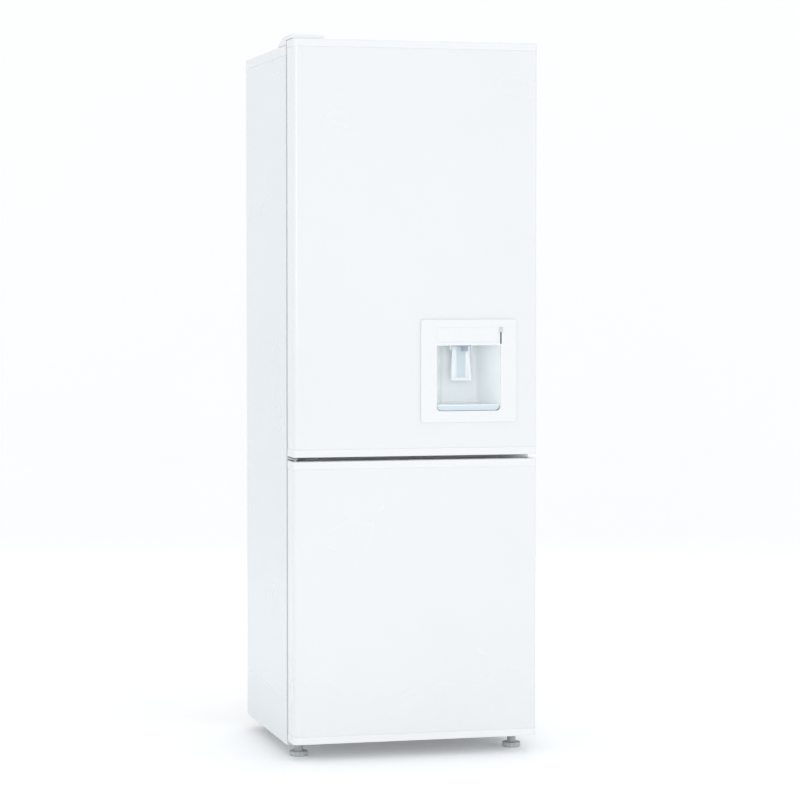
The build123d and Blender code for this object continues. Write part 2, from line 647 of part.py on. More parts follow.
def door_cap(z, end, bore_z):
    """A moulded end cap with a blind bore for the hinge pin and, next to the gap, a finger channel."""
    span = (z[0], z[0] + CAP_HEIGHT) if end == "bottom" else (z[1] - CAP_HEIGHT, z[1])
    cap = door_core(span, 0, DOOR_BACK)
    outer = cap.edges().group_by(Axis.Z)[0 if end == "bottom" else -1]
    cap = fillet(outer, 2)
    direction = (0, 0, 1) if end == "bottom" else (0, 0, -1)
    if abs(bore_z - SPLIT_Z) < DOOR_GAP:
        y0 = FRONT_Y + CHANNEL_FRONT
        x = SIDE - CHANNEL_END
        low, high = sorted((bore_z - direction[2], bore_z + direction[2] * CHANNEL_RISE))
        cap -= block(-x, x, y0, y0 + CHANNEL_DEPTH, low, high)
    return cap - rod((PIN_X, PIN_Y, bore_z), PIN_RADIUS + PIN_RUN, PIN_REACH + 2, direction)


def door_caps(z):
    return Compound([door_cap(z, "bottom", z[0]), door_cap(z, "top", z[1])])


def foam_core(z, grip):
    """A door's insulation before any ribs or niche."""
    span = skin_span(z)
    core = door_core(span, SKIN_INSET + SHEET, DOOR_BACK - LINER - SHEET)
    width = SIDE - SKIN_INSET - DOOR_RETURN
    core += block(-width, width, DOOR_BACK - LINER - SHEET - 1, DOOR_BACK - LINER, *span)
    return core - grip_body(grip, GRIP_WALL, 1)


def rib_blocks(inset):
    """The two upright ribs inside the upper door that carry the bins."""
    z0, z1 = RIB_Z[0] + inset, RIB_Z[1] - inset
    ribs = []
    for s in (-1, 1):
        x0, x1 = sorted((s * (RIB_INNER + inset), s * (RIB_OUTER - inset)))
        ribs.append(block(x0, x1, DOOR_BACK - LINER, RIB_END_Y - inset, z0, z1))
    return ribs


def bulge(inset):
    """The insulation behind the dispenser niche, standing into the fridge."""
    half = BULGE_HALF + LINER - inset
    return block(NICHE_X - half, NICHE_X + half, DOOR_BACK - LINER, BULGE_Y + LINER - inset,
                 BULGE_Z[0] - LINER + inset, BULGE_Z[1] + LINER - inset)


def niche_body(grow, front, extra=0.0):
    """The dispenser's niche, narrowing from front to back, or its outside when grown."""
    wide = NICHE_WIDTH / 2 + grow
    back = FRONT_Y + NICHE_DEPTH + grow
    narrow = NICHE_WIDTH / 2 - NICHE_FLARE + grow
    lean = NICHE_FLARE / NICHE_DEPTH
    wide_front = wide + lean * (FRONT_Y - front) + extra
    plan = [(NICHE_X - wide_front, front), (NICHE_X + wide_front, front),
            (NICHE_X + narrow, back), (NICHE_X - narrow, back)]
    body = plate(plan, NICHE_BOTTOM - grow, NICHE_TOP + grow)
    return fillet(body.edges().filter_by(Axis.Z).group_by(Axis.Y)[-1], 12 + grow)


def spout_shape(grow):
    """The water outlet: a nozzle in the niche's roof, fed by a pipe through the door from the tank."""
    y = FRONT_Y + SPOUT_DEPTH
    low = NICHE_TOP - SPOUT_DROP
    down = rod((NICHE_X, y, low), SPOUT_RADIUS + grow, SPOUT_FEED_Z - low, (0, 0, 1))
    elbow = Pos(NICHE_X, y, SPOUT_FEED_Z) * Sphere(SPOUT_RADIUS + grow)
    feed = rod((NICHE_X, y, SPOUT_FEED_Z), SPOUT_RADIUS + grow, DOOR_BACK - y + grow, (0, 1, 0))
    return down + elbow + feed


def upper_door_skin():
    skin = door_skin(UPPER_Z, grip_z(UPPER_Z, True))
    return skin - niche_body(NICHE_WALL, FRONT_Y - 1) - lock_shaft_room()


def lower_door_skin():
    return door_skin(LOWER_Z, grip_z(LOWER_Z, False))


def upper_door_foam():
    foam = foam_core(UPPER_Z, grip_z(UPPER_Z, True))
    for rib in rib_blocks(LINER):
        foam += rib
    foam += bulge(LINER)
    foam -= niche_body(NICHE_WALL, FRONT_Y - 1)
    foam -= spout_shape(SEAL_CLEAR)
    return foam - lock_shaft_room()


def lower_door_foam():
    foam = foam_core(LOWER_Z, grip_z(LOWER_Z, False))
    return foam + lower_emboss(LINER)


def lower_emboss(inset):
    """The freezer door liner's raised middle."""
    half = SIDE - EMBOSS_SIDE_GAP - inset
    return block(-half, half, DOOR_BACK - LINER, DOOR_BACK + EMBOSS - inset,
                 LOWER_Z[0] + EMBOSS_LOW_GAP + inset, LOWER_Z[1] - EMBOSS_HIGH_GAP - inset)


def liner_plate(z):
    width = SIDE - SKIN_INSET
    return block(-width, width, DOOR_BACK - LINER, DOOR_BACK, *skin_span(z))


def upper_door_liner():
    """The moulded inside of the upper door, with ribs, bin rests and the housing behind the niche."""
    liner = liner_plate(UPPER_Z) + bulge(0)
    for rib in rib_blocks(0):
        liner += rib
    for rib in rib_blocks(LINER):
        liner -= rib
    liner -= bulge(LINER)
    for z in (BOTTLE_BIN_Z, *BIN_HEIGHTS):
        for s in (-1, 1):
            x0, x1 = sorted((s * (RIB_INNER - BIN_REST), s * RIB_INNER))
            liner += block(x0, x1, DOOR_BACK, RIB_END_Y - 8, z - BIN_REST, z)
    return liner - spout_shape(SEAL_CLEAR)


def lower_door_liner():
    return liner_plate(LOWER_Z) + lower_emboss(0) - lower_emboss(LINER)


def gasket(x, z0, z1):
    """A door seal: a closed frame of moulded rubber with a bellows groove round its outside."""
    y0, y1 = DOOR_BACK, CABINET_Y - SEAL_CLEAR
    middle = (y0 + y1) / 2

    def ring(outset, a, b):
        w = GASKET_WIDTH - outset
        outer = soft_block(-x + outset, x - outset, a, b, z0 + outset, z1 - outset, 6, Axis.Y)
        return outer - block(-x + w, x - w, a - 1, b + 1, z0 + w, z1 - w)

    return ring(0, y0, middle - 2) + ring(3, middle - 2, middle + 2) + ring(0, middle + 2, y1)


def upper_door_gasket():
    return gasket(SIDE - GASKET_INSET, UPPER_Z[0] + GASKET_INSET, UPPER_Z[1] - GASKET_TOP_DROP)


def lower_door_gasket():
    return gasket(SIDE - GASKET_INSET, LOWER_Z[0] + GASKET_INSET, LOWER_Z[1] - GASKET_INSET)


# ================================================================ dispenser
def lock_shaft_room():
    """Space behind the bezel for the lock slider's stem and catch."""
    return block(LOCK_X - 6, LOCK_X + 6, FRONT_Y - 1, FRONT_Y + 12, LOCK_BOTTOM - 3, LOCK_TOP + 3)


def dispenser_bezel():
    """The frame round the niche, with a blank upper strip and the lock's slot."""
    x0, x1 = NICHE_X - BEZEL_WIDTH / 2, NICHE_X + BEZEL_WIDTH / 2
    front = FRONT_Y - BEZEL_PROUD
    frame = soft_block(x0, x1, front, SKIN_Y, BEZEL_BOTTOM, BEZEL_TOP, BEZEL_CORNER, Axis.Y)
    frame = fillet(frame.edges().group_by(Axis.Y)[0], 1.2)
    left, right = NICHE_X - NICHE_WIDTH / 2, NICHE_X + NICHE_WIDTH / 2
    middle = (NICHE_BOTTOM + NICHE_TOP) / 2
    ends = front - 1, SKIN_Y + 1
    frame -= soft_block(left, right, *ends, NICHE_BOTTOM, NICHE_TOP, NICHE_LOW_CORNER, Axis.Y)
    frame -= soft_block(left, right, *ends, middle, NICHE_TOP, NICHE_HIGH_CORNER, Axis.Y)
    strip = soft_block(left, LOCK_X - 6, front - 1, front + 0.8, NICHE_TOP + 8, LOCK_TOP, 2, Axis.Y)
    half = LOCK_SLOT / 2
    slot = block(LOCK_X - half, LOCK_X + half, *ends, LOCK_BOTTOM, LOCK_TOP)
    return frame - strip - slot


def dispenser_niche():
    """The moulded niche: leaning side walls, a ledge for the tray and two ears for the paddle."""
    shell = niche_body(NICHE_WALL, SKIN_Y) - niche_body(0, SKIN_Y - 1)
    back = FRONT_Y + NICHE_DEPTH
    ledge = block(NICHE_X - 60, NICHE_X + 60, back - LEDGE_DEPTH, back + 1,
                  NICHE_BOTTOM - 1, NICHE_BOTTOM + LEDGE_RISE)
    shell += ledge & niche_body(NICHE_WALL / 2, SKIN_Y)
    pivot = NICHE_TOP - PIVOT_DROP
    y = FRONT_Y + PADDLE_DEPTH
    for s in (-1, 1):
        x = NICHE_X + s * (PADDLE_TOP_WIDTH / 2 + 3)
        ear = block(x - 2, x + 2, y - 6, y + 6, pivot, NICHE_TOP + NICHE_WALL / 2)
        ear += rod((x - 2, y, pivot), 6, 4, (1, 0, 0))
        shell += ear
    shell -= rod((NICHE_X - 40, y, pivot), PIVOT_RADIUS + PIN_RUN, 80, (1, 0, 0))
    return shell - spout_shape(SEAL_CLEAR)


def upright_plate(outline, y0, y1):
    """A plate from y0 to y1 with an outline of x and z."""
    face = Plane((0, y1, 0), x_dir=(1, 0, 0), z_dir=(0, -1, 0)) * make_face(Polyline(*outline, close=True))
    return extrude(face, y1 - y0)


def dispenser_paddle():
    """The lever a glass pushes: a plate that widens downwards, with side ribs and a lip that deepen."""
    y = FRONT_Y + PADDLE_DEPTH
    pivot = NICHE_TOP - PIVOT_DROP
    half = PADDLE_THICK / 2
    low, high = PADDLE_WIDTH / 2, PADDLE_TOP_WIDTH / 2

    def outline(inset, z):
        return [(NICHE_X - low + inset, z), (NICHE_X + low - inset, z),
                (NICHE_X + high - inset, pivot), (NICHE_X - high + inset, pivot)]

    body = upright_plate(outline(0, PADDLE_BOTTOM), y - PADDLE_RIB, y + half)
    rear = y + half
    side = [(rear, pivot), (y - half, pivot), (y - PADDLE_RIB, PADDLE_BOTTOM), (rear, PADDLE_BOTTOM)]
    across = Plane((NICHE_X - low, 0, 0), x_dir=(0, 1, 0), z_dir=(1, 0, 0))
    body &= extrude(across * make_face(Polyline(*side, close=True)), PADDLE_WIDTH)
    body -= upright_plate(outline(PADDLE_EDGE, PADDLE_BOTTOM + PADDLE_THICK), y - PADDLE_RIB - 1, y - half)
    body += rod((NICHE_X - high, y, pivot), PIVOT_RADIUS + 2, PADDLE_TOP_WIDTH, (1, 0, 0))
    return body + rod((NICHE_X - high - 5, y, pivot), PIVOT_RADIUS, PADDLE_TOP_WIDTH + 10, (1, 0, 0))


def dispenser_spout():
    y = FRONT_Y + SPOUT_DEPTH
    body = spout_shape(0)
    body -= rod((NICHE_X, y, NICHE_TOP - SPOUT_DROP - 1), SPOUT_BORE, SPOUT_DROP + 6, (0, 0, 1))
    return body


def tray_plan(clear, front, back):
    """The niche's plan between two depths from the door's front, less a clearance."""
    def half(depth):
        return NICHE_WIDTH / 2 - NICHE_FLARE * depth / NICHE_DEPTH - clear
    near, far = FRONT_Y + front, FRONT_Y + back
    return [(NICHE_X - half(front), near), (NICHE_X + half(front), near),
            (NICHE_X + half(back), far), (NICHE_X - half(back), far)]


def tray_block(clear, front, back, z0, z1, corner):
    """A plate that fills the niche's plan, with its lower side edges rounded."""
    body = plate(tray_plan(clear, front, back), z0, z1)
    low = body.edges().group_by(Axis.Z)[0]
    return fillet([edge for edge in low if abs(edge.tangent_at(0.5).X) < 0.9], corner)


def dispenser_tray():
    """The shallow drip tray that draws out of the niche."""
    z0 = NICHE_BOTTOM + TRAY_CLEAR
    z1 = z0 + TRAY_HEIGHT
    body = tray_block(TRAY_CLEAR + 0.6, 1, TRAY_DEPTH, z0, z1, NICHE_LOW_CORNER)
    return body - tray_block(TRAY_CLEAR + TRAY_WALL + 1.2, 1 + 2 * TRAY_WALL, TRAY_DEPTH - TRAY_WALL,
                             z0 + TRAY_WALL, z1 + 1, NICHE_LOW_CORNER - TRAY_WALL)


def dispenser_grille():
    """The slotted plate that lies on the drip tray."""
    z0 = NICHE_BOTTOM + TRAY_CLEAR + TRAY_HEIGHT
    body = plate(tray_plan(TRAY_CLEAR + 0.6, 1, TRAY_DEPTH), z0, z0 + GRILLE_THICK)
    for k in range(GRILLE_SLOTS):
        x = NICHE_X + (k - (GRILLE_SLOTS - 1) / 2) * 2.4 * GRILLE_SLOT
        body -= block(x - GRILLE_SLOT / 2, x + GRILLE_SLOT / 2, FRONT_Y + 12, FRONT_Y + TRAY_DEPTH - 8,
                      z0 - 1, z0 + 4)
    return body


def dispenser_lock():
    """The slider that locks the dispenser: a ribbed knob, a stem through the slot and a catch behind it."""
    front = FRONT_Y - BEZEL_PROUD
    z0, z1 = LOCK_TOP - LOCK_KNOB, LOCK_TOP
    half = LOCK_KNOB_WIDTH / 2
    knob = block(LOCK_X - half, LOCK_X + half, FRONT_Y - KNOB_PROUD, front - 0.2, z0, z1)
    knob = fillet(knob.edges().group_by(Axis.Y)[0], 1)
    stem = block(LOCK_X - LOCK_STEM / 2, LOCK_X + LOCK_STEM / 2, front - 1, FRONT_Y + 6, z0 + 1, z1 - 1)
    catch = block(LOCK_X - half, LOCK_X + half, FRONT_Y + 3, FRONT_Y + 6, z0, z1)
    return knob + stem + catch


def tank_box():
    """The water tank's outside: its left, right, front, back, bottom and top faces."""
    y0 = DOOR_BACK + TANK_GAP
    return NICHE_X - TANK_HALF, NICHE_X + TANK_HALF, y0, y0 + TANK_DEPTH, TANK_Z, TANK_Z + TANK_HEIGHT


def water_tank():
    """An open-topped clear tank with a collar that meets the spout's feed pipe."""
    x0, x1, y0, y1, z0, z1 = tank_box()
    body = soft_block(x0, x1, y0, y1, z0, z1, 6)
    w = TANK_WALL
    body -= soft_block(x0 + w, x1 - w, y0 + w, y1 - w, z0 + w, z1 + 1, 4)
    body += rod((NICHE_X, DOOR_BACK, SPOUT_FEED_Z), SPOUT_RADIUS - 1, TANK_GAP + 1, (0, 1, 0))
    return body


def flap_box():
    _, _, _, y1, _, z1 = tank_box()
    return NICHE_X - FLAP_HALF, NICHE_X + FLAP_HALF, y1 - 12 - FLAP_DEPTH, y1 - 12, z1


def tank_lid():
    """The tank's lid, with the filling hole that the flap covers."""
    x0, x1, y0, y1, _, z1 = tank_box()
    lid = soft_block(x0, x1, y0, y1, z1, z1 + LID_THICK, 6)
    a, b, c, d, _ = flap_box()
    lid -= block(a + 5, b - 5, c + 8, d - 5, z1 - 1, z1 + LID_THICK + 1)
    for x in (a - 4, b + 1):
        lid += block(x, x + 3, c - 4, c + 4, z1 + LID_THICK - 1, z1 + LID_THICK + 4)
        lid -= rod((x - 1, c, z1 + LID_THICK + 2), 1.5 + PIN_RUN, 6, (1, 0, 0))
    return lid


def tank_flap():
    """The small flap over the filling hole, turning on stub pins."""
    a, b, c, d, z = flap_box()
    low = z + LID_THICK + 0.3
    flap = block(a, b, c + 2, d, low, low + 2.5)
    flap += rod((a, c, z + LID_THICK + 2), 1.7, b - a, (1, 0, 0))
    flap += block(a, b, c, c + 3, low, low + 2.5)
    flap += block(NICHE_X - 12, NICHE_X + 12, d, d + 6, low, low + 2.5)
    return flap + rod((a - 3.5, c, z + LID_THICK + 2), 1.5, b - a + 7, (1, 0, 0))


# ================================================================ door bins
def door_bin(z, height, back):
    """An open bin between the door's ribs, with a rail along its front."""
    x = RIB_INNER - BIN_CLEAR
    front = RIB_END_Y - 6
    body = tray(-x, x, back, front, z, z + height * 0.6, BIN_WALL)
    body += block(-x, x, front - BIN_WALL, front, z, z + height * 0.68)
    rail = block(-x, x, front - 6, front, z + height - 10, z + height)
    rail = fillet(rail.edges().filter_by(Axis.X), 2)
    for s in (-1, 1):
        x0, x1 = sorted((s * (x - BIN_WALL), s * x))
        rail += block(x0, x1, front - 14, front, z + height * 0.5, z + height)
    return body + rail


def door_bins():
    return Compound([door_bin(z, BIN_DEEP, DOOR_BACK + 1) for z in BIN_HEIGHTS])


def bottle_bin():
    """The deep lowest bin, stepped forward on the right to clear the dispenser's housing."""
    x = RIB_INNER - BIN_CLEAR
    z, height = BOTTLE_BIN_Z, BOTTLE_BIN_HEIGHT
    front = RIB_END_Y - 6
    near, far = DOOR_BACK + 1, BULGE_Y + LINER + 2
    step = NICHE_X - BULGE_HALF - LINER - 4

    def plan(t):
        return [(-x + t, near + t), (step - t, near + t), (step - t, far + t), (x - t, far + t),
                (x - t, front - t), (-x + t, front - t)]

    body = plate(plan(0), z, z + height) - plate(plan(BIN_WALL), z + BIN_WALL, z + height + 1)
    return body


# ================================================================ fridge interior
def glass_sheet(z):
    x = CAVITY_X - SHELF_CLEAR
    return block(-x, x, SHELF_FRONT + TRIM_WALL, SHELF_BACK - TRIM_WALL, z, z + GLASS)


def shelf_trim(z, front):
    """A moulded edge that clips over the glass, at the front or the back of a shelf."""
    x = CAVITY_X - LEDGE - 1
    edge = SHELF_FRONT if front else SHELF_BACK
    sign = 1 if front else -1
    y0, y1 = sorted((edge, edge + sign * TRIM_DEPTH))
    low, high = z - (TRIM_HEIGHT - GLASS) + TRIM_WALL, z + GLASS + TRIM_WALL
    trim = block(-x, x, y0, y1, low, high)
    slot = sorted((edge + sign * TRIM_WALL, edge + sign * (TRIM_DEPTH + 1)))
    return trim - block(-x - 1, x + 1, slot[0], slot[1], z, z + GLASS)


def shelf_trims():
    heights = (*SHELF_HEIGHTS, CRISPER_COVER_Z)
    return Compound([shelf_trim(z, front) for z in heights for front in (True, False)])


def control_places():
    """The control box's faces, shared by the dial, the switch and the lens."""
    x1 = CONTROL_RIGHT
    y0 = RIB_END_Y + CONTROL_BEHIND_RIBS
    return x1 - CONTROL_WIDTH, x1, y0, y0 + CONTROL_DEPTH, FRIDGE_TOP - CONTROL_HEIGHT, FRIDGE_TOP


def dial_point():
    _, x1, y0, _, _, z1 = control_places()
    return x1 - DIAL_OFFSET, y0, z1 - CONTROL_HEIGHT / 2


def switch_point():
    _, x1, y0, _, _, z1 = control_places()
    return x1 - SWITCH_OFFSET, y0, z1 - CONTROL_HEIGHT / 2


def control_box():
    """The hollow housing for lamp and thermostat under the fridge's ceiling."""
    x0, x1, y0, y1, z0, z1 = control_places()
    box = block(x0, x1, y0, y1, z0, z1)
    box = fillet(box.edges().group_by(Axis.Z)[0], 5)
    w = CONTROL_WALL
    box -= block(x0 + w, x1 - w, y0 + w, y1 - w, z0 + w, z1 - w)
    px, py, pz = dial_point()
    box -= rod((px, py - 1, pz), SPINDLE_RADIUS + PIN_RUN, w + 2, (0, 1, 0))
    sx, sy, sz = switch_point()
    box -= rod((sx, sy - 1, sz), SWITCH_RADIUS + PIN_RUN, w + 2, (0, 1, 0))
    return box - block(x0 + 18, x0 + 18 + LENS_LENGTH, y0 + 40, y1 - 20, z0 - 1, z0 + w + 1)


def lamp_lens():
    """The frosted cover below the lamp, with a rim that lies inside the box."""
    x0, _, y0, y1, z0, _ = control_places()
    a, b, c, d = x0 + 18.3, x0 + 17.7 + LENS_LENGTH, y0 + 40.3, y1 - 20.3
    lens = block(a, b, c, d, z0 - LENS_DROP, z0 + CONTROL_WALL)
    lens = fillet(lens.edges().group_by(Axis.Z)[0], 4)
    lens -= block(a + 2, b - 2, c + 2, d - 2, z0 - LENS_DROP + 2, z0 + CONTROL_WALL + 1)
    rim = block(a - 4, b + 4, c - 4, d + 4, z0 + CONTROL_WALL, z0 + CONTROL_WALL + 1.5)
    return lens + rim - block(a + 2, b - 2, c + 2, d - 2, z0 + CONTROL_WALL - 1, z0 + CONTROL_WALL + 3)


def thermostat_dial():
    """A round knob with a raised grip bar and a spindle into the box."""
    x, y, z = dial_point()
    knob = rod((x, y - 0.5, z), DIAL_RADIUS, DIAL_DEPTH - 4, (0, -1, 0))
    knob = fillet(knob.edges().group_by(Axis.Y)[0], 2)
    knob += block(x - 3, x + 3, y - DIAL_DEPTH, y - 4, z - DIAL_RADIUS + 2, z + DIAL_RADIUS - 2)
    return knob + rod((x, y - 1, z), SPINDLE_RADIUS, 16, (0, 1, 0))


def door_switch():
    """The lamp switch's plunger, held in by the end of the door's right rib."""
    x, y, z = switch_point()
    reach = CONTROL_BEHIND_RIBS - SEAL_CLEAR
    plunger = rod((x, y - reach, z), SWITCH_RADIUS, reach + 22, (0, 1, 0))
    return fillet(plunger.edges().group_by(Axis.Y)[0], 1.5)


# ================================================================ drawers
def drawer(front_y, back_y, z0, z1):
    """A see-through drawer with a thin body and a thicker front."""
    x = DRAWER_WIDTH / 2
    return (tray(-x, x, front_y, back_y, z0, z1, DRAWER_WALL)
            + block(-x, x, front_y, front_y + DRAWER_FRONT, z0, z1))


def crisper_drawer():
    front = RIB_END_Y + CRISPER_FRONT_GAP + GRIP_LIP / 2
    low = FRIDGE_FLOOR + SLIDE_GAP
    top = CRISPER_COVER_Z - DRAWER_HEAD_GAP - 8
    x = DRAWER_WIDTH / 4
    body = drawer(front, CAVITY_BACK - DRAWER_BACK_GAP, low, top)
    return body + block(-x, x, front - 6, front + 1, top - 8, top)


def freezer_drawers():
    """(name, drawer) for the three freezer drawers, lowest last."""
    front = CABINET_Y + DRAWER_FRONT_GAP
    deep = CAVITY_BACK - DRAWER_BACK_GAP
    wire = EVAPORATOR_TUBE + 2 * EVAPORATOR_WIRE
    upper = EVAPORATOR_Z + wire + SLIDE_GAP
    middle = EVAPORATOR_LOW_Z + wire + SLIDE_GAP
    lower = FREEZER_FLOOR + SLIDE_GAP
    under = EVAPORATOR_TUBE + DRAWER_HEAD_GAP + LEDGE_HEIGHT
    spans = {
        "freezer_drawer_upper": (upper, FREEZER_TOP - DRAWER_HEAD_GAP, deep),
        "freezer_drawer_middle": (middle, EVAPORATOR_Z - under, deep),
        "freezer_drawer_lower": (lower, EVAPORATOR_LOW_Z - under, STEP_Y - DRAWER_BACK_GAP),
    }
    return {name: drawer(front + 6, back, z0, z1) + drawer_pull(front + 6, z1)
            for name, (z0, z1, back) in spans.items()}


def drawer_pull(front, top):
    """A shallow bar that stands off a drawer's front for the fingers."""
    x = DRAWER_WIDTH * 0.28
    bar = block(-x, x, front - 6, front - 3, top - 26, top)
    return bar + block(-x, x, front - 6, front + 1, top - 4, top)


def serpentine(half, runs, pitch, place):
    """Corners of a tube that goes to and fro, each mapped to a point by place(across, along)."""
    points = []
    for k in range(runs):
        ends = (-half, half) if k % 2 == 0 else (half, -half)
        points += [place(ends[0], k * pitch), place(ends[1], k * pitch)]
    return points


def evaporator_shelf(z):
    """A cooling shelf: one bent tube with the wires that the drawers run on soldered across it."""
    front = CABINET_Y + DRAWER_FRONT_GAP + 20
    half = CAVITY_X - 6
    points = serpentine(half, EVAPORATOR_RUNS, EVAPORATOR_PITCH, lambda a, b: (a, front + b, z))
    body = tube(points, EVAPORATOR_TUBE, EVAPORATOR_PITCH / 2 - 1)
    length = (EVAPORATOR_RUNS - 1) * EVAPORATOR_PITCH + 2 * EVAPORATOR_TUBE
    top = z + EVAPORATOR_TUBE + EVAPORATOR_WIRE - 0.3
    step = 2 * (half - 30) / (EVAPORATOR_WIRES - 1)
    for k in range(EVAPORATOR_WIRES):
        x = -half + 30 + k * step
        body += rod((x, front - EVAPORATOR_TUBE, top), EVAPORATOR_WIRE, length, (0, 1, 0))
    return body


def evaporator_shelves():
    return Compound([evaporator_shelf(EVAPORATOR_Z), evaporator_shelf(EVAPORATOR_LOW_Z)])


# ================================================================ cooling circuit at the back
def condenser():
    """The wire-and-tube condenser: a serpentine tube with upright wires welded on its outer face."""
    y = REAR_Y - CONDENSER_TUBE - 2 * CONDENSER_WIRE + 0.3
    points = serpentine(CONDENSER_HALF, CONDENSER_RUNS, CONDENSER_PITCH,
                        lambda a, b: (a, y, CONDENSER_LOW + b))
    body = tube(points, CONDENSER_TUBE, CONDENSER_PITCH / 2 - 2)
    height = (CONDENSER_RUNS - 1) * CONDENSER_PITCH + 2 * 8
    step = 2 * (CONDENSER_HALF - CONDENSER_PITCH / 2) / (CONDENSER_WIRES - 1)
    for k in range(CONDENSER_WIRES):
        x = -CONDENSER_HALF + CONDENSER_PITCH / 2 + k * step
        body += rod((x, REAR_Y - CONDENSER_WIRE, CONDENSER_LOW - 8), CONDENSER_WIRE, height, (0, 0, 1))
    return body


def condenser_straps():
    """Four bent straps welded to the cabinet's back, each reaching a run of the condenser's tube."""
    end = REAR_Y - 2 * CONDENSER_TUBE - 2 * CONDENSER_WIRE + 0.3
    half = STRAP_WIDTH / 2
    straps = []
    for k in (1, CONDENSER_RUNS - 2):
        z = CONDENSER_LOW + k * CONDENSER_PITCH
        for s in (-1, 1):
            x = s * (CONDENSER_HALF - CONDENSER_PITCH)
            strap = block(x - half, x + half, BACK_Y, BACK_Y + STRAP, z - STRAP / 2, z + STRAP_FOOT)
            straps.append(strap + block(x - half, x + half, BACK_Y, end, z - STRAP / 2, z + STRAP / 2))
    return straps


def compressor_places():
    """The compressor's middle and the height of its foot plate."""
    return COMPRESSOR_X, BAY_Y + BAY_DEPTH / 2, CABINET_BOTTOM + LINER + GROMMET_HEIGHT


def compressor():
    """A sealed pot: two domed halves with a weld flange, on a foot plate, with three pipe stubs."""
    x, y, z = compressor_places()
    pot = rod((x, y, z + 3), COMPRESSOR_RADIUS, COMPRESSOR_HEIGHT, (0, 0, 1))
    pot = fillet(pot.edges().group_by(Axis.Z)[-1], 40)
    pot = fillet(pot.edges().group_by(Axis.Z)[0], 18)
    pot += rod((x, y, z + COMPRESSOR_HEIGHT * 0.55), COMPRESSOR_RADIUS + 3, 5, (0, 0, 1))
    pot += soft_block(x - 100, x + 100, y - 58, y + 58, z, z + 3, 12)
    pot += rod((x + COMPRESSOR_RADIUS - 12, y - 20, z + 60), 22, 26, (1, 0, 0))
    pot += rod((x - COMPRESSOR_RADIUS + 12, y + 25, z + 50), PIPE_RADIUS + 2, 24, (-1, 0, 0))
    return pot + rod((x - COMPRESSOR_RADIUS + 12, y - 25, z + 95), PIPE_RADIUS + 2, 24, (-1, 0, 0))


def compressor_mounts():
    x, y, _ = compressor_places()
    low = CABINET_BOTTOM + LINER
    return Compound([rod((x + s * 84, y + t * 44, low), GROMMET_RADIUS, GROMMET_HEIGHT, (0, 0, 1))
                     for s in (-1, 1) for t in (-1, 1)])


def relay_cover():
    """The box over the compressor's terminals."""
    x, y, z = compressor_places()
    x0 = x + COMPRESSOR_RADIUS + 14
    return soft_block(x0, x0 + 38, y - 48, y + 8, z + 30, z + 92, 6, Axis.X)


def evaporation_tray():
    """The tray on the compressor's top where defrost water dries off."""
    x, y, z = compressor_places()
    z0 = z + 3 + COMPRESSOR_HEIGHT
    return tray(x - 88, x + 88, y - 62, y + 62, z0, z0 + 26, 2)


def drier_places():
    return COMPRESSOR_X + 215, BAY_Y + BAY_DEPTH - 62, CABINET_BOTTOM + 60


def refrigerant_pipes():
    """The hot pipe up to the condenser's top run, and the line from its lowest run to the copper drier."""
    x, y, z = compressor_places()
    stub_x = x - COMPRESSOR_RADIUS - 12
    tube_y = REAR_Y - CONDENSER_TUBE - 2 * CONDENSER_WIRE + 0.3
    end = -CONDENSER_HALF - 0.2
    top = CONDENSER_LOW + (CONDENSER_RUNS - 1) * CONDENSER_PITCH
    hot = tube([(stub_x, y + 25, z + 50), (stub_x - 30, y + 25, z + 50), (stub_x - 30, tube_y, z + 80),
                (end - 20, tube_y, CONDENSER_LOW - 30), (end - 20, tube_y, top), (end, tube_y, top)],
               CONDENSER_TUBE, 9)
    dx, dy, dz = drier_places()
    low = CONDENSER_LOW - 35
    liquid = tube([(dx, dy, dz + 100), (dx, dy, dz + 145), (dx - 40, tube_y, dz + 170),
                   (dx - 120, tube_y, low),
                   (end - 10, tube_y, low), (end - 10, tube_y, CONDENSER_LOW),
                   (end, tube_y, CONDENSER_LOW)],
                  CONDENSER_TUBE, 6)
    drier = fillet(rod((dx, dy, dz), DRIER_RADIUS, 90, (0, 0, 1)).edges(), 6)
    drier += rod((dx, dy, dz - 10), PIPE_RADIUS, 110, (0, 0, 1))
    return Compound([hot, drier + liquid])


def cord_gland():
    """The ribbed bush in the base where a mains cord would leave."""
    x = SIDE - 90
    y = BACK_Y - 2 * SHEET
    z = CABINET_BOTTOM + LINER
    body = soft_block(x - 9, x + 9, y - 12, y, z, z + 22, 4, Axis.Y)
    return body - rod((x, y - 13, z + 12), 4, 14, (0, 1, 0))


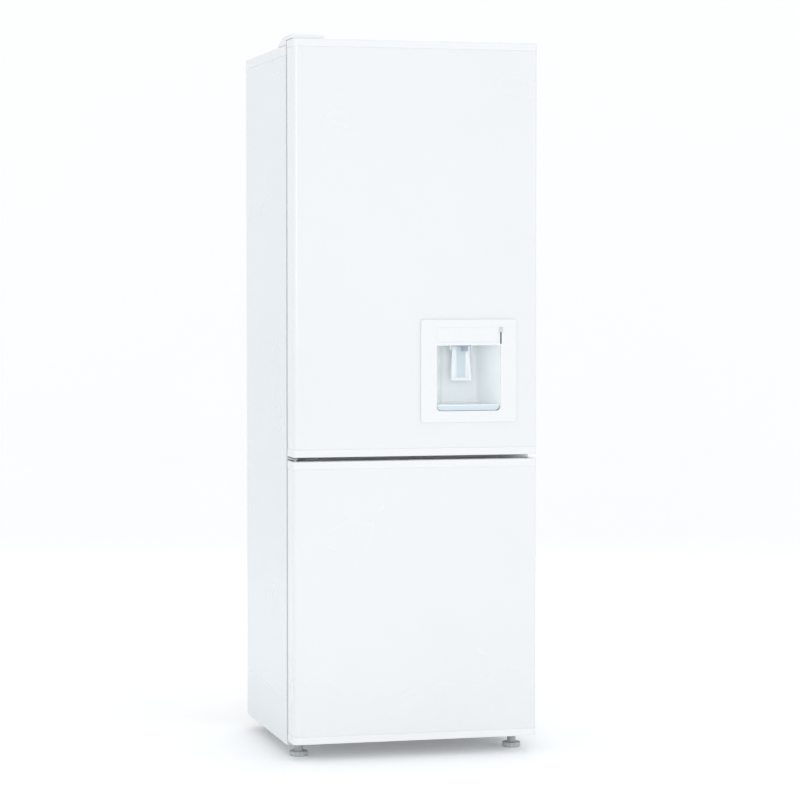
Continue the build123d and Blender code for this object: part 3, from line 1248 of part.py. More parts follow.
# ================================================================ everything
def parts():
    """Every sub-part, by the name of its node."""
    found = {
        "left_side_panel": side_panel(-1),
        "right_side_panel": side_panel(1),
        "back_panel": back_panel(),
        "top_cover": top_cover(),
        "cabinet_foam": cabinet_foam(),
        "fridge_liner": fridge_liner(),
        "freezer_liner": freezer_liner(),
        "divider_strip": divider_strip(),
        "base_frame": base_frame(),
        "rear_roller_left": rear_roller(-1),
        "rear_roller_right": rear_roller(1),
        "front_foot_left": front_foot(-1),
        "front_foot_right": front_foot(1),
        "top_hinge": top_hinge(),
        "middle_hinge": middle_hinge(),
        "bottom_hinge": bottom_hinge(),
        "hinge_screws": hinge_screws(),
        "hinge_cover": hinge_cover(),
        "upper_door_skin": upper_door_skin(),
        "upper_door_foam": upper_door_foam(),
        "upper_door_liner": upper_door_liner(),
        "upper_door_gasket": upper_door_gasket(),
        "upper_door_caps": door_caps(UPPER_Z),
        "upper_door_grip": side_grip(grip_z(UPPER_Z, True)),
        "lower_door_skin": lower_door_skin(),
        "lower_door_foam": lower_door_foam(),
        "lower_door_liner": lower_door_liner(),
        "lower_door_gasket": lower_door_gasket(),
        "lower_door_caps": door_caps(LOWER_Z),
        "lower_door_grip": side_grip(grip_z(LOWER_Z, False)),
        "dispenser_bezel": dispenser_bezel(),
        "dispenser_niche": dispenser_niche(),
        "dispenser_paddle": dispenser_paddle(),
        "dispenser_spout": dispenser_spout(),
        "dispenser_tray": dispenser_tray(),
        "dispenser_grille": dispenser_grille(),
        "dispenser_lock": dispenser_lock(),
        "water_tank": water_tank(),
        "tank_lid": tank_lid(),
        "tank_flap": tank_flap(),
        "door_bins": door_bins(),
        "bottle_bin": bottle_bin(),
        "glass_shelves": Compound([glass_sheet(z) for z in (*SHELF_HEIGHTS, CRISPER_COVER_Z)]),
        "shelf_trims": shelf_trims(),
        "control_box": control_box(),
        "lamp_lens": lamp_lens(),
        "thermostat_dial": thermostat_dial(),
        "door_switch": door_switch(),
        "crisper_drawer": crisper_drawer(),
        **freezer_drawers(),
        "evaporator_shelves": evaporator_shelves(),
        "condenser": condenser(),
        "compressor": compressor(),
        "compressor_mounts": compressor_mounts(),
        "relay_cover": relay_cover(),
        "evaporation_tray": evaporation_tray(),
        "refrigerant_pipes": refrigerant_pipes(),
        "cord_gland": cord_gland(),
    }
    return found


def main():
    os.makedirs("parts", exist_ok=True)
    for name, shape in parts().items():
        export_step(shape, f"parts/{name}.step")


main()
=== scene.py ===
# %% [markdown]
# # A fridge-freezer with a water dispenser
# This notebook dresses a imported CAD model of a tall refrigerator. The CAD model holds every size and
# every joint, so each piece made here goes where the model says, and rides on the body that the model
# names. We load the model first.

# %% Load the frame
import json
import math

import bmesh
import bpy
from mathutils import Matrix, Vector


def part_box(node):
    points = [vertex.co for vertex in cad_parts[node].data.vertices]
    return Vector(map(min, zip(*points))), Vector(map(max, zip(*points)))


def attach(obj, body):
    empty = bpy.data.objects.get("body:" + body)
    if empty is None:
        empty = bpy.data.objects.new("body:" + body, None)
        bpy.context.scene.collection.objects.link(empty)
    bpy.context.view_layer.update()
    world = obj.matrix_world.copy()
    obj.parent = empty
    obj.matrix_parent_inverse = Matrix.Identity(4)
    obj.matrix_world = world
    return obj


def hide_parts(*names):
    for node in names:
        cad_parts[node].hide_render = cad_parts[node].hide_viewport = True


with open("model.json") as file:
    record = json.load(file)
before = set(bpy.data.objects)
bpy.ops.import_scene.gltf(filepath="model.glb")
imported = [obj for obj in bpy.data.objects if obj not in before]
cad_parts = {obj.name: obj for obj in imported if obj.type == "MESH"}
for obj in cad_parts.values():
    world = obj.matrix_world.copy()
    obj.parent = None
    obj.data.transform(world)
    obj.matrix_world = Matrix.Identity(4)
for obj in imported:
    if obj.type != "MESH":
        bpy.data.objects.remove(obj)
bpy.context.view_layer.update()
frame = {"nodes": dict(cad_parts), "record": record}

MM = 0.001
BODIES = frame["record"]["behaviour"]["bodies"]
BODY_OF = {node: body for body, nodes in BODIES.items() for node in nodes}

# %% [markdown]
# ## The camera
# A shop picture of a refrigerator is taken from a few metres away with a long lens, nearly level, so that
# the upright edges stay upright. The camera stands left of the door's front corner, turned 14 degrees to
# the right, and is tilted down by two and a half degrees to bring the feet into view.

# %% Place the camera
VIEW_TURN = math.radians(14.318)
VIEW_TILT = math.radians(2.552)
EYE = Vector((-1.658, -6.635, 1.147))
FOCAL = 124.27

camera = bpy.data.objects.new("camera", bpy.data.cameras.new("camera"))
bpy.context.scene.collection.objects.link(camera)
camera.location = EYE
camera.rotation_euler = (math.pi / 2 - VIEW_TILT, 0, -VIEW_TURN)
camera.data.lens = FOCAL
camera.data.sensor_width = 36
camera.data.clip_end = 60
bpy.context.scene.camera = camera
print("camera at", tuple(round(v, 3) for v in EYE), "lens", FOCAL, "mm")

# %% [markdown]
# ## The light
# White goods are shown on a white sweep, lit so softly that the front is almost as bright as the
# background. The shape is then read from its shaded side and from thin shadows in the gaps. One large
# lamp near the camera lights the doors and reaches into the dispenser and the finger channel. Weaker ones
# stand to the right, above and behind, and a bright even sky keeps every shadow pale.

# %% Lamps and sky
def softbox(name, place, aim, size, power):
    """A square area lamp that points at a spot on the object."""
    lamp = bpy.data.lights.new(name, "AREA")
    lamp.shape = "SQUARE"
    lamp.size = size
    lamp.energy = power
    holder = bpy.data.objects.new(name, lamp)
    bpy.context.scene.collection.objects.link(holder)
    holder.location = place
    holder.rotation_euler = (Vector(aim) - Vector(place)).to_track_quat("-Z", "Y").to_euler()


softbox("key", (-1.4, -5.4, 1.7), (0.0, -0.3, 0.9), 1.6, 31)
softbox("fill", (3.2, -3.6, 1.6), (0.1, -0.3, 0.8), 2.2, 8)
softbox("top", (-0.3, -0.2, 4.6), (0, 0, 0), 3.0, 12)
softbox("back", (0.8, 3.8, 2.6), (0, 0.2, 0.9), 2.4, 12)

sky = bpy.data.worlds.new("studio_sky")
sky.use_nodes = True
dome = sky.node_tree.nodes["Background"].inputs
dome["Color"].default_value = (0.975, 0.99, 1.0, 1)
dome["Strength"].default_value = 0.87
bpy.context.scene.world = sky
bpy.context.scene.view_settings.view_transform = "Standard"
bpy.context.scene.view_settings.exposure = 0.0

# %% [markdown]
# ## Writing node trees as Python
# A node tree is easier to read as an expression than as a list of links. `Wire` wraps one socket and
# turns +, - and * into Math nodes. `Graph` adds any other node with one method, `add`, which takes the
# node's type, its settings and the values or wires of its sockets. Materials and Geometry Nodes trees
# both build on it.


# %% Wires and graphs
class Wire:
    """A value that flows out of a node's socket."""

    def __init__(self, graph, socket):
        self.graph = graph
        self.socket = socket

    def maths(self, operation, other=None, swapped=False):
        pair = [other, self] if swapped else [self, other]
        values = {place: value for place, value in enumerate(pair) if value is not None}
        return self.graph.add("ShaderNodeMath", {"operation": operation}, values)

    def __add__(self, other):
        return self.maths("ADD", other)

    def __sub__(self, other):
        return self.maths("SUBTRACT", other)

    def __rsub__(self, other):
        return self.maths("SUBTRACT", other, swapped=True)

    def __mul__(self, other):
        return self.maths("MULTIPLY", other)

    __radd__ = __add__

    def above(self, low, high):
        """0 below low, 1 above high, and smooth between."""
        return self.graph.add("ShaderNodeMapRange", {"interpolation_type": "SMOOTHSTEP"},
                              {"Value": self, "From Min": low, "From Max": high})


class Graph:
    """A node tree that grows one node at a time."""

    def __init__(self, tree):
        self.tree = tree

    def add(self, kind, settings=None, values=None, output=0):
        node = self.tree.nodes.new(kind)
        for name, value in (settings or {}).items():
            setattr(node, name, value)
        for name, value in (values or {}).items():
            if isinstance(value, Wire):
                self.tree.links.new(value.socket, node.inputs[name])
            else:
                node.inputs[name].default_value = value
        return Wire(self, node.outputs[output])


# %% [markdown]
# ## Finishes
# Every surface on a refrigerator is plain at a glance, and what makes it real is faint: the orange peel
# of stoved enamel, the fine spark-eroded grain of moulded plastic, the spangle of zinc, smudges in the
# gloss. `Finish` starts a material on the Principled shader. Numbers that are the same all over go
# straight onto the shader's sockets, and only colour, roughness and bump are driven by patterns, all of
# them in Object coordinates.


# %% The finish class
class Finish(Graph):
    """A material whose colour, roughness and bump can follow patterns."""

    def __init__(self, name, colour, roughness, **constants):
        self.material = bpy.data.materials.new(name)
        self.material.use_nodes = True
        super().__init__(self.material.node_tree)
        self.shader = self.tree.nodes["Principled BSDF"]
        self.place = self.add("ShaderNodeTexCoord", output="Object")
        self.put("Base Color", (*colour, 1))
        self.put("Roughness", roughness)
        self.material.diffuse_color = (*colour, 1)
        for socket, value in constants.items():
            self.put(socket.replace("_", " "), value)

    def put(self, socket, value):
        if isinstance(value, Wire):
            self.tree.links.new(value.socket, self.shader.inputs[socket])
        else:
            self.shader.inputs[socket].default_value = value

    def noise(self, scale, detail=2.0, roughness=0.5, stretch=None):
        """Soft noise from 0 to 1, with its scale in features a metre."""
        place = self.place
        if stretch:
            place = self.add("ShaderNodeMapping", values={"Vector": place, "Scale": stretch})
        values = {"Vector": place, "Scale": scale, "Detail": detail, "Roughness": roughness}
        return self.add("ShaderNodeTexNoise", values=values)

    def cells(self, scale, output="Distance"):
        """Voronoi cells: the distance from each middle, or a colour for each."""
        values = {"Vector": self.place, "Scale": scale}
        return self.add("ShaderNodeTexVoronoi", values=values, output=output)

    def axis(self, letter):
        return self.add("ShaderNodeSeparateXYZ", values={0: self.place}, output="XYZ".index(letter))

    def blend(self, factor, first, second):
        """Mix two colours, or a wire of colour and a colour."""
        first, second = ((*c, 1) if isinstance(c, tuple) else c for c in (first, second))
        return self.add("ShaderNodeMix", {"data_type": "RGBA"}, {0: factor, 6: first, 7: second}, 2)

    def bump(self, height, depth):
        """Raise the surface by a pattern, depth metres from low to high."""
        self.put("Normal", self.add("ShaderNodeBump", values={"Height": height, "Distance": depth}))


# %% [markdown]
# ### Enamel
# The doors and sides are sheet steel with a stoved white coat. Up close it has orange peel, a ripple
# about two millimetres across and a few microns deep. Larger, slower waves come from the sheet itself.
# Hands leave dull patches in the gloss, and the paint is a shade warmer where dust settles low down by
# the floor.


# %% Enamel
def enamel(name, colour):
    f = Finish(name, colour, 0.28, Coat_Weight=0.35, Coat_Roughness=0.06)
    tone = f.noise(2.2, 3).above(0.35, 0.75)
    dust = 1 - f.axis("Z").above(0.03, 0.22)
    shade = tuple(c * 0.965 for c in colour)
    warm = (colour[0] * 0.93, colour[1] * 0.92, colour[2] * 0.89)
    coat = f.blend(tone * 0.6, colour, shade)
    f.put("Base Color", f.blend(dust * f.noise(40, 4) * 0.45, coat, warm))
    smudge = f.noise(3.5, 2, 0.5).above(0.4, 0.8)
    f.put("Roughness", 0.24 + smudge * 0.05 + dust * 0.1)
    f.bump(f.noise(420, 1) * 0.3 + f.noise(9, 1), 0.000015)
    return f.material


ENAMEL = enamel("white_enamel", (0.815, 0.83, 0.84))
# The side panels get a darker, bluer copy of the same white enamel: painted shade, because the sides get
# less light than the doors.
SHADED_SIDE_ENAMEL = enamel("side_enamel", (0.745, 0.79, 0.815))

# %% [markdown]
# ### Moulded plastics
# Injection-moulded parts share one recipe with different colours and grains. A spark-eroded mould leaves
# a fine random grain, which a small noise bump gives. Flow marks make the gloss uneven over a few
# centimetres, and dirt collects in a faint speckle.


# %% Moulded plastic
def moulded(name, colour, roughness, grain=900.0, grain_depth=0.00004, **constants):
    f = Finish(name, colour, roughness, **constants)
    speck = f.noise(170, 5, 0.7).above(0.56, 0.8)
    cloud = f.noise(7, 3)
    shade = tuple(c * 0.9 for c in colour)
    f.put("Base Color", f.blend(speck * 0.16 + cloud * 0.22, colour, shade))
    f.put("Roughness", roughness - 0.06 + cloud * 0.14)
    f.bump(f.noise(grain, 2), grain_depth)
    return f.material


WHITE_PLASTIC = moulded("white_plastic", (0.83, 0.845, 0.855), 0.34)
CAP_PLASTIC = moulded("cap_plastic", (0.84, 0.855, 0.865), 0.3, 700.0, 0.00003)
GREY_PLASTIC = moulded("grey_plastic", (0.62, 0.665, 0.7), 0.5, 700.0, 0.00008)
COVER_PLASTIC = moulded("cover_plastic", (0.865, 0.88, 0.89), 0.48, 600.0, 0.00005)
NICHE_PLASTIC = moulded("niche_plastic", (0.93, 0.97, 0.985), 0.3, 800.0, 0.00002)
# The tray's darker blue-grey is painted shade, for the shade under the curve of the tray's front.
SHADED_TRAY_PLASTIC = moulded("tray_plastic", (0.66, 0.76, 0.82), 0.34, 800.0, 0.00003)
SPOUT_PLASTIC = moulded("spout_plastic", (0.36, 0.42, 0.5), 0.35, 800.0, 0.00003)
BLACK_PLASTIC = moulded("black_plastic", (0.035, 0.036, 0.04), 0.5, 500.0, 0.0001)
FOOT_PLASTIC = moulded("foot_plastic", (0.5, 0.52, 0.54), 0.55, 500.0, 0.0001)

# %% [markdown]
# The paddle has glossy pale edges round a softer, darker pad where a glass pushes. The pad's darkness is
# painted shade, for the channel between the ridges and the shadow of the niche's roof. The pad is picked
# out by its distance from the paddle's middle and its height above the lip.


# %% Paddle, with painted shade in its middle
def paddle_finish_with_painted_shade(name, box, rim, pad):
    f = Finish(name, rim, 0.2)
    low, high = box
    reach = (f.axis("X") - (low.x + high.x) / 2).maths("ABSOLUTE")
    # inside masks the pad: painted shade in the paddle's middle, above the lip, where the ridges and the
    # niche's roof shade it
    inside = (1 - reach.above(10.5 * MM, 12.5 * MM)) * f.axis("Z").above(low.z + 6 * MM, low.z + 9 * MM)
    worn = f.noise(60, 4) * 0.4
    f.put("Base Color", f.blend(inside, rim, f.blend(worn, pad, tuple(c * 0.9 for c in pad))))
    f.put("Roughness", 0.2 + inside * 0.3 + worn * 0.1)
    f.bump(f.noise(1100, 2) * (0.3 + inside), 0.00004)
    return f.material


PADDLE_PLASTIC = paddle_finish_with_painted_shade("paddle_plastic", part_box("dispenser_paddle"),
                          rim=(0.93, 0.965, 0.98), pad=(0.68, 0.77, 0.81))

# %% [markdown]
# ### Liners
# The inside walls are one sheet of polystyrene, heated and sucked over a mould. It comes out glossy, a
# little milky, and gently uneven, because the sheet thins where it stretches. Slow waves in the bump show
# that in its reflections, and a trace of subsurface light keeps the shadows soft.


# %% Liner plastic
def vacuum_formed(name, colour):
    f = Finish(name, colour, 0.22, Subsurface_Weight=0.08, Subsurface_Scale=0.004, Coat_Weight=0.15)
    milk = f.noise(5, 3)
    f.put("Base Color", f.blend(milk * 0.5, colour, tuple(c * 0.94 for c in colour)))
    f.put("Roughness", 0.24 + f.noise(4, 2) * 0.08)
    f.bump(f.noise(12, 1) + f.noise(240, 1) * 0.05, 0.00012)
    return f.material


LINER = vacuum_formed("liner_plastic", (0.82, 0.85, 0.87))

# %% [markdown]
# ### Metals
# The back sheet, base and hinges are zinc-plated. Zinc freezes in flat crystals that each reflect the
# light differently, which a Voronoi cell pattern copies: each cell gets its own tone and its own gloss.
# The condenser and the compressor are black satin paint with dust on it, and the pipes are drawn copper,
# browned near the brazing.


# %% Zinc, black paint, wire coating and copper
def zinc(name):
    f = Finish(name, (0.62, 0.63, 0.645), 0.42, Metallic=0.85)
    spangle = f.cells(75, output="Color")
    tone = f.add("ShaderNodeSeparateColor", values={0: spangle})
    haze = f.noise(6, 4)
    f.put("Base Color", f.blend(tone * 0.55 + haze * 0.3, (0.70, 0.71, 0.72), (0.47, 0.485, 0.505)))
    f.put("Roughness", 0.3 + tone * 0.16 + haze * 0.12)
    f.bump(tone * 0.5 + f.noise(700, 2) * 0.3, 0.00003)
    return f.material


def black_paint(name):
    f = Finish(name, (0.022, 0.023, 0.025), 0.38, Coat_Weight=0.2, Coat_Roughness=0.2)
    dust = f.noise(26, 5, 0.7).above(0.5, 0.85)
    f.put("Base Color", f.blend(dust * 0.5, (0.02, 0.021, 0.023), (0.14, 0.135, 0.125)))
    f.put("Roughness", 0.3 + dust * 0.35)
    f.bump(f.noise(900, 2), 0.00004)
    return f.material


def coated_wire(name):
    f = Finish(name, (0.83, 0.845, 0.855), 0.32, Coat_Weight=0.3)
    frost = f.noise(90, 5, 0.7).above(0.5, 0.75)
    f.put("Base Color", f.blend(frost * 0.4, (0.80, 0.815, 0.83), (0.9, 0.93, 0.95)))
    f.put("Roughness", 0.26 + frost * 0.3)
    f.bump(f.noise(420, 3), 0.00006)
    return f.material


def copper(name):
    f = Finish(name, (0.78, 0.43, 0.3), 0.3, Metallic=1.0)
    brown = f.noise(34, 5, 0.65).above(0.45, 0.72)
    f.put("Base Color", f.blend(brown * 0.75, (0.80, 0.45, 0.31), (0.36, 0.19, 0.13)))
    f.put("Roughness", 0.24 + brown * 0.3)
    f.bump(f.noise(600, 2, stretch=(1, 1, 0.1)), 0.00003)
    return f.material


ZINC = zinc("zinc_steel")
BLACK_PAINT = black_paint("black_paint")
WIRE_COATING = coated_wire("coated_steel")
COPPER = copper("copper")

# %% [markdown]
# ### Clear parts
# The shelves are toughened glass: clear through the face and green at the cut edge, where light travels
# along the sheet. Drawers and bins are clear polystyrene, slightly blue, with fine scratches from use.
# Both transmit light on the shader's own socket, and only their tint and gloss are patterned.


# %% Glass and clear plastic
def shelf_glass(name, box):
    (x0, y0, _), (x1, y1, _) = box
    f = Finish(name, (0.93, 0.98, 0.965), 0.03, Transmission_Weight=0.96, IOR=1.5)
    side = f.axis("X").maths("ABSOLUTE").above(x1 - 3.5 * MM, x1 - 1.5 * MM)
    front = 1 - f.axis("Y").above(y0 + 1.5 * MM, y0 + 3.5 * MM)
    back = f.axis("Y").above(y1 - 3.5 * MM, y1 - 1.5 * MM)
    edge = side.maths("MAXIMUM", front).maths("MAXIMUM", back)
    f.put("Base Color", f.blend(edge, (0.93, 0.98, 0.965), (0.33, 0.66, 0.55)))
    f.put("Roughness", 0.015 + f.noise(12, 4, 0.6).above(0.55, 0.8) * 0.07)
    return f.material


def clear_plastic(name, tint):
    f = Finish(name, tint, 0.1, Transmission_Weight=0.78, IOR=1.46)
    scratch = f.noise(60, 3, 0.6, stretch=(1, 12, 1)).above(0.6, 0.8)
    milk = f.noise(8, 3)
    f.put("Base Color", f.blend(milk * 0.5, tint, tuple(c * 0.93 for c in tint)))
    f.put("Roughness", 0.06 + scratch * 0.18 + milk * 0.05)
    f.bump(f.noise(30, 2), 0.0001)
    return f.material


GLASS = shelf_glass("shelf_glass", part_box("glass_shelves"))
CLEAR = clear_plastic("clear_plastic", (0.93, 0.965, 0.985))
TANK_CLEAR = clear_plastic("tank_plastic", (0.86, 0.94, 0.98))

# %% [markdown]
# ### Rubber, foam and the lamp's lens
# Door seals are soft vinyl with a matt skin. The compressor stands on black rubber. Polyurethane foam
# fills the walls, so it only shows where a panel is off. The lens is frosted, and glows a little as if
# its lamp were on.


# %% Soft and frosted finishes
def vinyl(name, colour):
    f = Finish(name, colour, 0.55, Sheen_Weight=0.2, Sheen_Roughness=0.4)
    grime = f.noise(45, 5, 0.7).above(0.5, 0.8)
    f.put("Base Color", f.blend(grime * 0.4, colour, tuple(c * 0.72 for c in colour)))
    f.put("Roughness", 0.48 + grime * 0.2)
    f.bump(f.noise(800, 3), 0.00008)
    return f.material


def rigid_foam(name):
    f = Finish(name, (0.86, 0.76, 0.52), 0.85)
    pores = f.cells(420)
    f.put("Base Color", f.blend(pores * 0.8 + f.noise(20, 4) * 0.3, (0.88, 0.79, 0.56), (0.68, 0.56, 0.33)))
    f.put("Roughness", 0.78 + pores * 0.2)
    f.bump(pores, 0.0006)
    return f.material


def lamp_glow(name):
    f = Finish(name, (0.92, 0.91, 0.87), 0.5, Transmission_Weight=0.25, Emission_Strength=1.6)
    frost = f.noise(500, 3)
    f.put("Base Color", f.blend(frost * 0.4, (0.93, 0.92, 0.88), (0.84, 0.83, 0.8)))
    f.put("Emission Color", f.blend(f.noise(14, 1), (1.0, 0.93, 0.8), (1.0, 0.86, 0.66)))
    f.bump(frost, 0.0001)
    return f.material


SEAL = vinyl("gasket_vinyl", (0.66, 0.69, 0.71))
RUBBER = vinyl("mount_rubber", (0.035, 0.035, 0.037))
FOAM = rigid_foam("insulation_foam")
LENS = lamp_glow("frosted_lens")

# %% [markdown]
# ## From CAD mesh to finished piece
# CAD edges are knife sharp, and a knife-sharp edge never catches the light. Real sheet and plastic always
# have a small radius. Most pieces are therefore a copy of the CAD mesh, cleaned of its loose triangles,
# with a Bevel modifier of a fraction of a millimetre and weighted normals, so that flats stay flat and
# edges shine.


# %% Helpers that finish a piece
MERGE = 0.00001  # points of a CAD mesh nearer than this are one
BEVEL_STEPS = 2
SHARP_ANGLE = 32.0


def stand(name, mesh):
    piece = bpy.data.objects.new(name, mesh)
    bpy.context.scene.collection.objects.link(piece)
    return piece


def freeze(source, name):
    """Turn an object and its modifiers into a plain mesh object."""
    bpy.context.view_layer.update()
    evaluated = source.evaluated_get(bpy.context.evaluated_depsgraph_get())
    mesh = bpy.data.meshes.new_from_object(evaluated)
    bpy.data.objects.remove(source)
    mesh.name = name
    return stand(name, mesh)


def paint(piece, finish):
    """Give a piece one finish all over."""
    piece.data.materials.clear()
    piece.data.materials.append(finish)
    for face in piece.data.polygons:
        face.material_index = 0


def settle(piece, finish, node, *others):
    """Give a piece its finish and its body, and let it stand for its CAD nodes."""
    paint(piece, finish)
    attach(piece, BODY_OF[node])
    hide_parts(node, *others)
    print(f"{piece.name}: {len(piece.data.polygons)} faces on {BODY_OF[node]}")
    return piece


def smooth_by_angle(mesh, degrees=35.0):
    mesh.shade_smooth()
    mesh.set_sharp_from_angle(angle=math.radians(degrees))


def round_edges(piece, width):
    """Bevel a piece's sharp edges and keep its flats flat."""
    smooth_by_angle(piece.data)
    bevel = piece.modifiers.new("edges", "BEVEL")
    bevel.width = width
    bevel.segments = BEVEL_STEPS
    bevel.limit_method = "ANGLE"
    bevel.angle_limit = math.radians(SHARP_ANGLE)
    bevel.use_clamp_overlap = False
    bevel.miter_outer = "MITER_ARC"
    weigh = piece.modifiers.new("normals", "WEIGHTED_NORMAL")
    weigh.keep_sharp = True
    return freeze(piece, piece.name + "_piece")


def clean_copy(node):
    """A CAD node's mesh with its doubles merged and its flat faces joined."""
    mesh = frame["nodes"][node].data.copy()
    form = bmesh.new()
    form.from_mesh(mesh)
    bmesh.ops.remove_doubles(form, verts=form.verts, dist=MERGE)
    bmesh.ops.dissolve_limit(form, angle_limit=math.radians(0.5), verts=form.verts, edges=form.edges)
    form.to_mesh(mesh)
    form.free()
    for spare in ("custom_normal", "sharp_edge", "sharp_face"):
        if spare in mesh.attributes:
            mesh.attributes.remove(mesh.attributes[spare])
    return mesh


def softened(node, width, finish):
    """A finished copy of a CAD node with rounded edges."""
    mesh = clean_copy(node)
    mesh.name = node
    return settle(round_edges(stand(node, mesh), width), finish, node)


# %% [markdown]
# ## Pieces that keep their CAD shape
# The list below names each such node, the radius of its edges and its finish. Sheet metal gets a third of
# a millimetre, thick mouldings up to one millimetre.

# %% Softened pieces
SOFTENED = {
    "left_side_panel": (0.3, SHADED_SIDE_ENAMEL),
    "right_side_panel": (0.3, SHADED_SIDE_ENAMEL),
    "top_cover": (0.8, COVER_PLASTIC),
    "divider_strip": (0.3, ENAMEL),
    "base_frame": (0.25, ZINC),
    "top_hinge": (0.4, ZINC),
    "middle_hinge": (0.4, ZINC),
    "bottom_hinge": (0.4, ZINC),
    "hinge_cover": (0.6, COVER_PLASTIC),
    "upper_door_skin": (0.3, ENAMEL),
    "lower_door_skin": (0.3, ENAMEL),
    "upper_door_caps": (0.5, CAP_PLASTIC),
    "lower_door_caps": (0.5, CAP_PLASTIC),
    "upper_door_grip": (0.4, GREY_PLASTIC),
    "lower_door_grip": (0.4, GREY_PLASTIC),
    "upper_door_liner": (0.7, LINER),
    "lower_door_liner": (0.7, LINER),
    "dispenser_bezel": (0.5, CAP_PLASTIC),
    "dispenser_niche": (1.2, NICHE_PLASTIC),
    "dispenser_tray": (0.5, SHADED_TRAY_PLASTIC),
    "dispenser_grille": (0.3, NICHE_PLASTIC),
    "dispenser_lock": (0.25, GREY_PLASTIC),
    "dispenser_spout": (0.4, SPOUT_PLASTIC),
    "tank_lid": (0.5, WHITE_PLASTIC),
    "tank_flap": (0.3, WHITE_PLASTIC),
    "water_tank": (0.5, TANK_CLEAR),
    "shelf_trims": (0.5, WHITE_PLASTIC),
    "glass_shelves": (0.5, GLASS),
    "control_box": (0.6, WHITE_PLASTIC),
    "lamp_lens": (0.5, LENS),
    "door_switch": (0.3, WHITE_PLASTIC),
    "compressor": (0.6, BLACK_PAINT),
    "relay_cover": (0.8, BLACK_PLASTIC),
    "evaporation_tray": (0.5, GREY_PLASTIC),
    "cord_gland": (0.5, BLACK_PLASTIC),
    "front_foot_left": (0.6, FOOT_PLASTIC),
    "front_foot_right": (0.6, FOOT_PLASTIC),
    "rear_roller_left": (0.4, BLACK_PLASTIC),
    "rear_roller_right": (0.4, BLACK_PLASTIC),
}
for node, (radius, finish) in SOFTENED.items():
    softened(node, radius * MM, finish)

# %% Nodes that stay as the CAD made them, with a better finish
KEPT = {
    "cabinet_foam": FOAM,
    "upper_door_foam": FOAM,
    "lower_door_foam": FOAM,
    "fridge_liner": LINER,
    "freezer_liner": LINER,
    "refrigerant_pipes": COPPER,
    "back_panel": ZINC,
    "compressor_mounts": RUBBER,
}
for node, finish in KEPT.items():
    for slot in frame["nodes"][node].material_slots:
        slot.material = finish

# %% [markdown]
# ## Building shapes from rings
# Most moulded things are a stack of outlines: a drawer is a rounded rectangle that grows a little from
# its bottom to its rim, and comes back down inside. A `ring` gives one outline, and `lofted` joins a
# stack of them with quads. `turned` makes the rings of a lathe, `extruded` carries one profile along X,
# and `built` puts shapes in one mesh.


# %% Rings and lofts
def ring(x0, x1, z0, z1, radius, steps=6):
    """A rectangle with rounded corners, as pairs, anticlockwise."""
    radius = max(radius, 0.05 * MM)
    corners = ((x1 - radius, z1 - radius), (x0 + radius, z1 - radius),
               (x0 + radius, z0 + radius), (x1 - radius, z0 + radius))
    return [(cx + radius * math.cos(a), cz + radius * math.sin(a))
            for quarter, (cx, cz) in enumerate(corners)
            for a in (math.pi / 2 * (quarter + k / steps) for k in range(steps + 1))]


def lofted(rings, caps=True):
    """Points and faces that join rings of equal length."""
    count = len(rings[0])
    points = [point for one in rings for point in one]
    faces = [(level + k, level + (k + 1) % count, level + count + (k + 1) % count, level + count + k)
             for level in range(0, len(points) - count, count) for k in range(count)]
    if caps:
        faces += [tuple(reversed(range(count))), tuple(range(len(points) - count, len(points)))]
    return points, faces


def turned(profile, centre, axis, steps=40, ripple=None):
    """A lathe shape: profile is pairs of distance along the axis and radius."""
    rings = []
    for along, radius in profile:
        circle = []
        for k in range(steps):
            a = math.tau * k / steps
            reach = radius * (ripple(a, along) if ripple else 1)
            c, s = reach * math.cos(a), reach * math.sin(a)
            offset = {"X": (along, c, s), "Y": (s, along, c), "Z": (c, s, along)}[axis]
            circle.append(tuple(centre[i] + offset[i] for i in range(3)))
        rings.append(circle)
    return lofted(rings)


def extruded(profile, x0, x1):
    """A profile of (y, z) pairs carried along X."""
    return lofted([[(x, y, z) for y, z in profile] for x in (x0, x1)])


def built(name, shapes, degrees=35.0):
    """One mesh object made of several shapes, its normals pointing outwards."""
    form = bmesh.new()
    for points, faces in shapes:
        corners = [form.verts.new(point) for point in points]
        for face in faces:
            form.faces.new([corners[i] for i in face])
    bmesh.ops.recalc_face_normals(form, faces=form.faces)
    mesh = bpy.data.meshes.new(name)
    form.to_mesh(mesh)
    form.free()
    smooth_by_angle(mesh, degrees)
    return stand(name, mesh)


# %% [markdown]
# ## Geometry Nodes for what repeats
# Two recipes serve every repeated part. `Stamps` puts a copy of a small piece on each vertex of a mesh,
# turned by an attribute and spun at random, and suits screws, rivets and tick marks. `Wires` lays a row
# of parallel wires, each a hair out of line, as welding leaves them. Both realize their instances, so the
# result is a plain mesh.


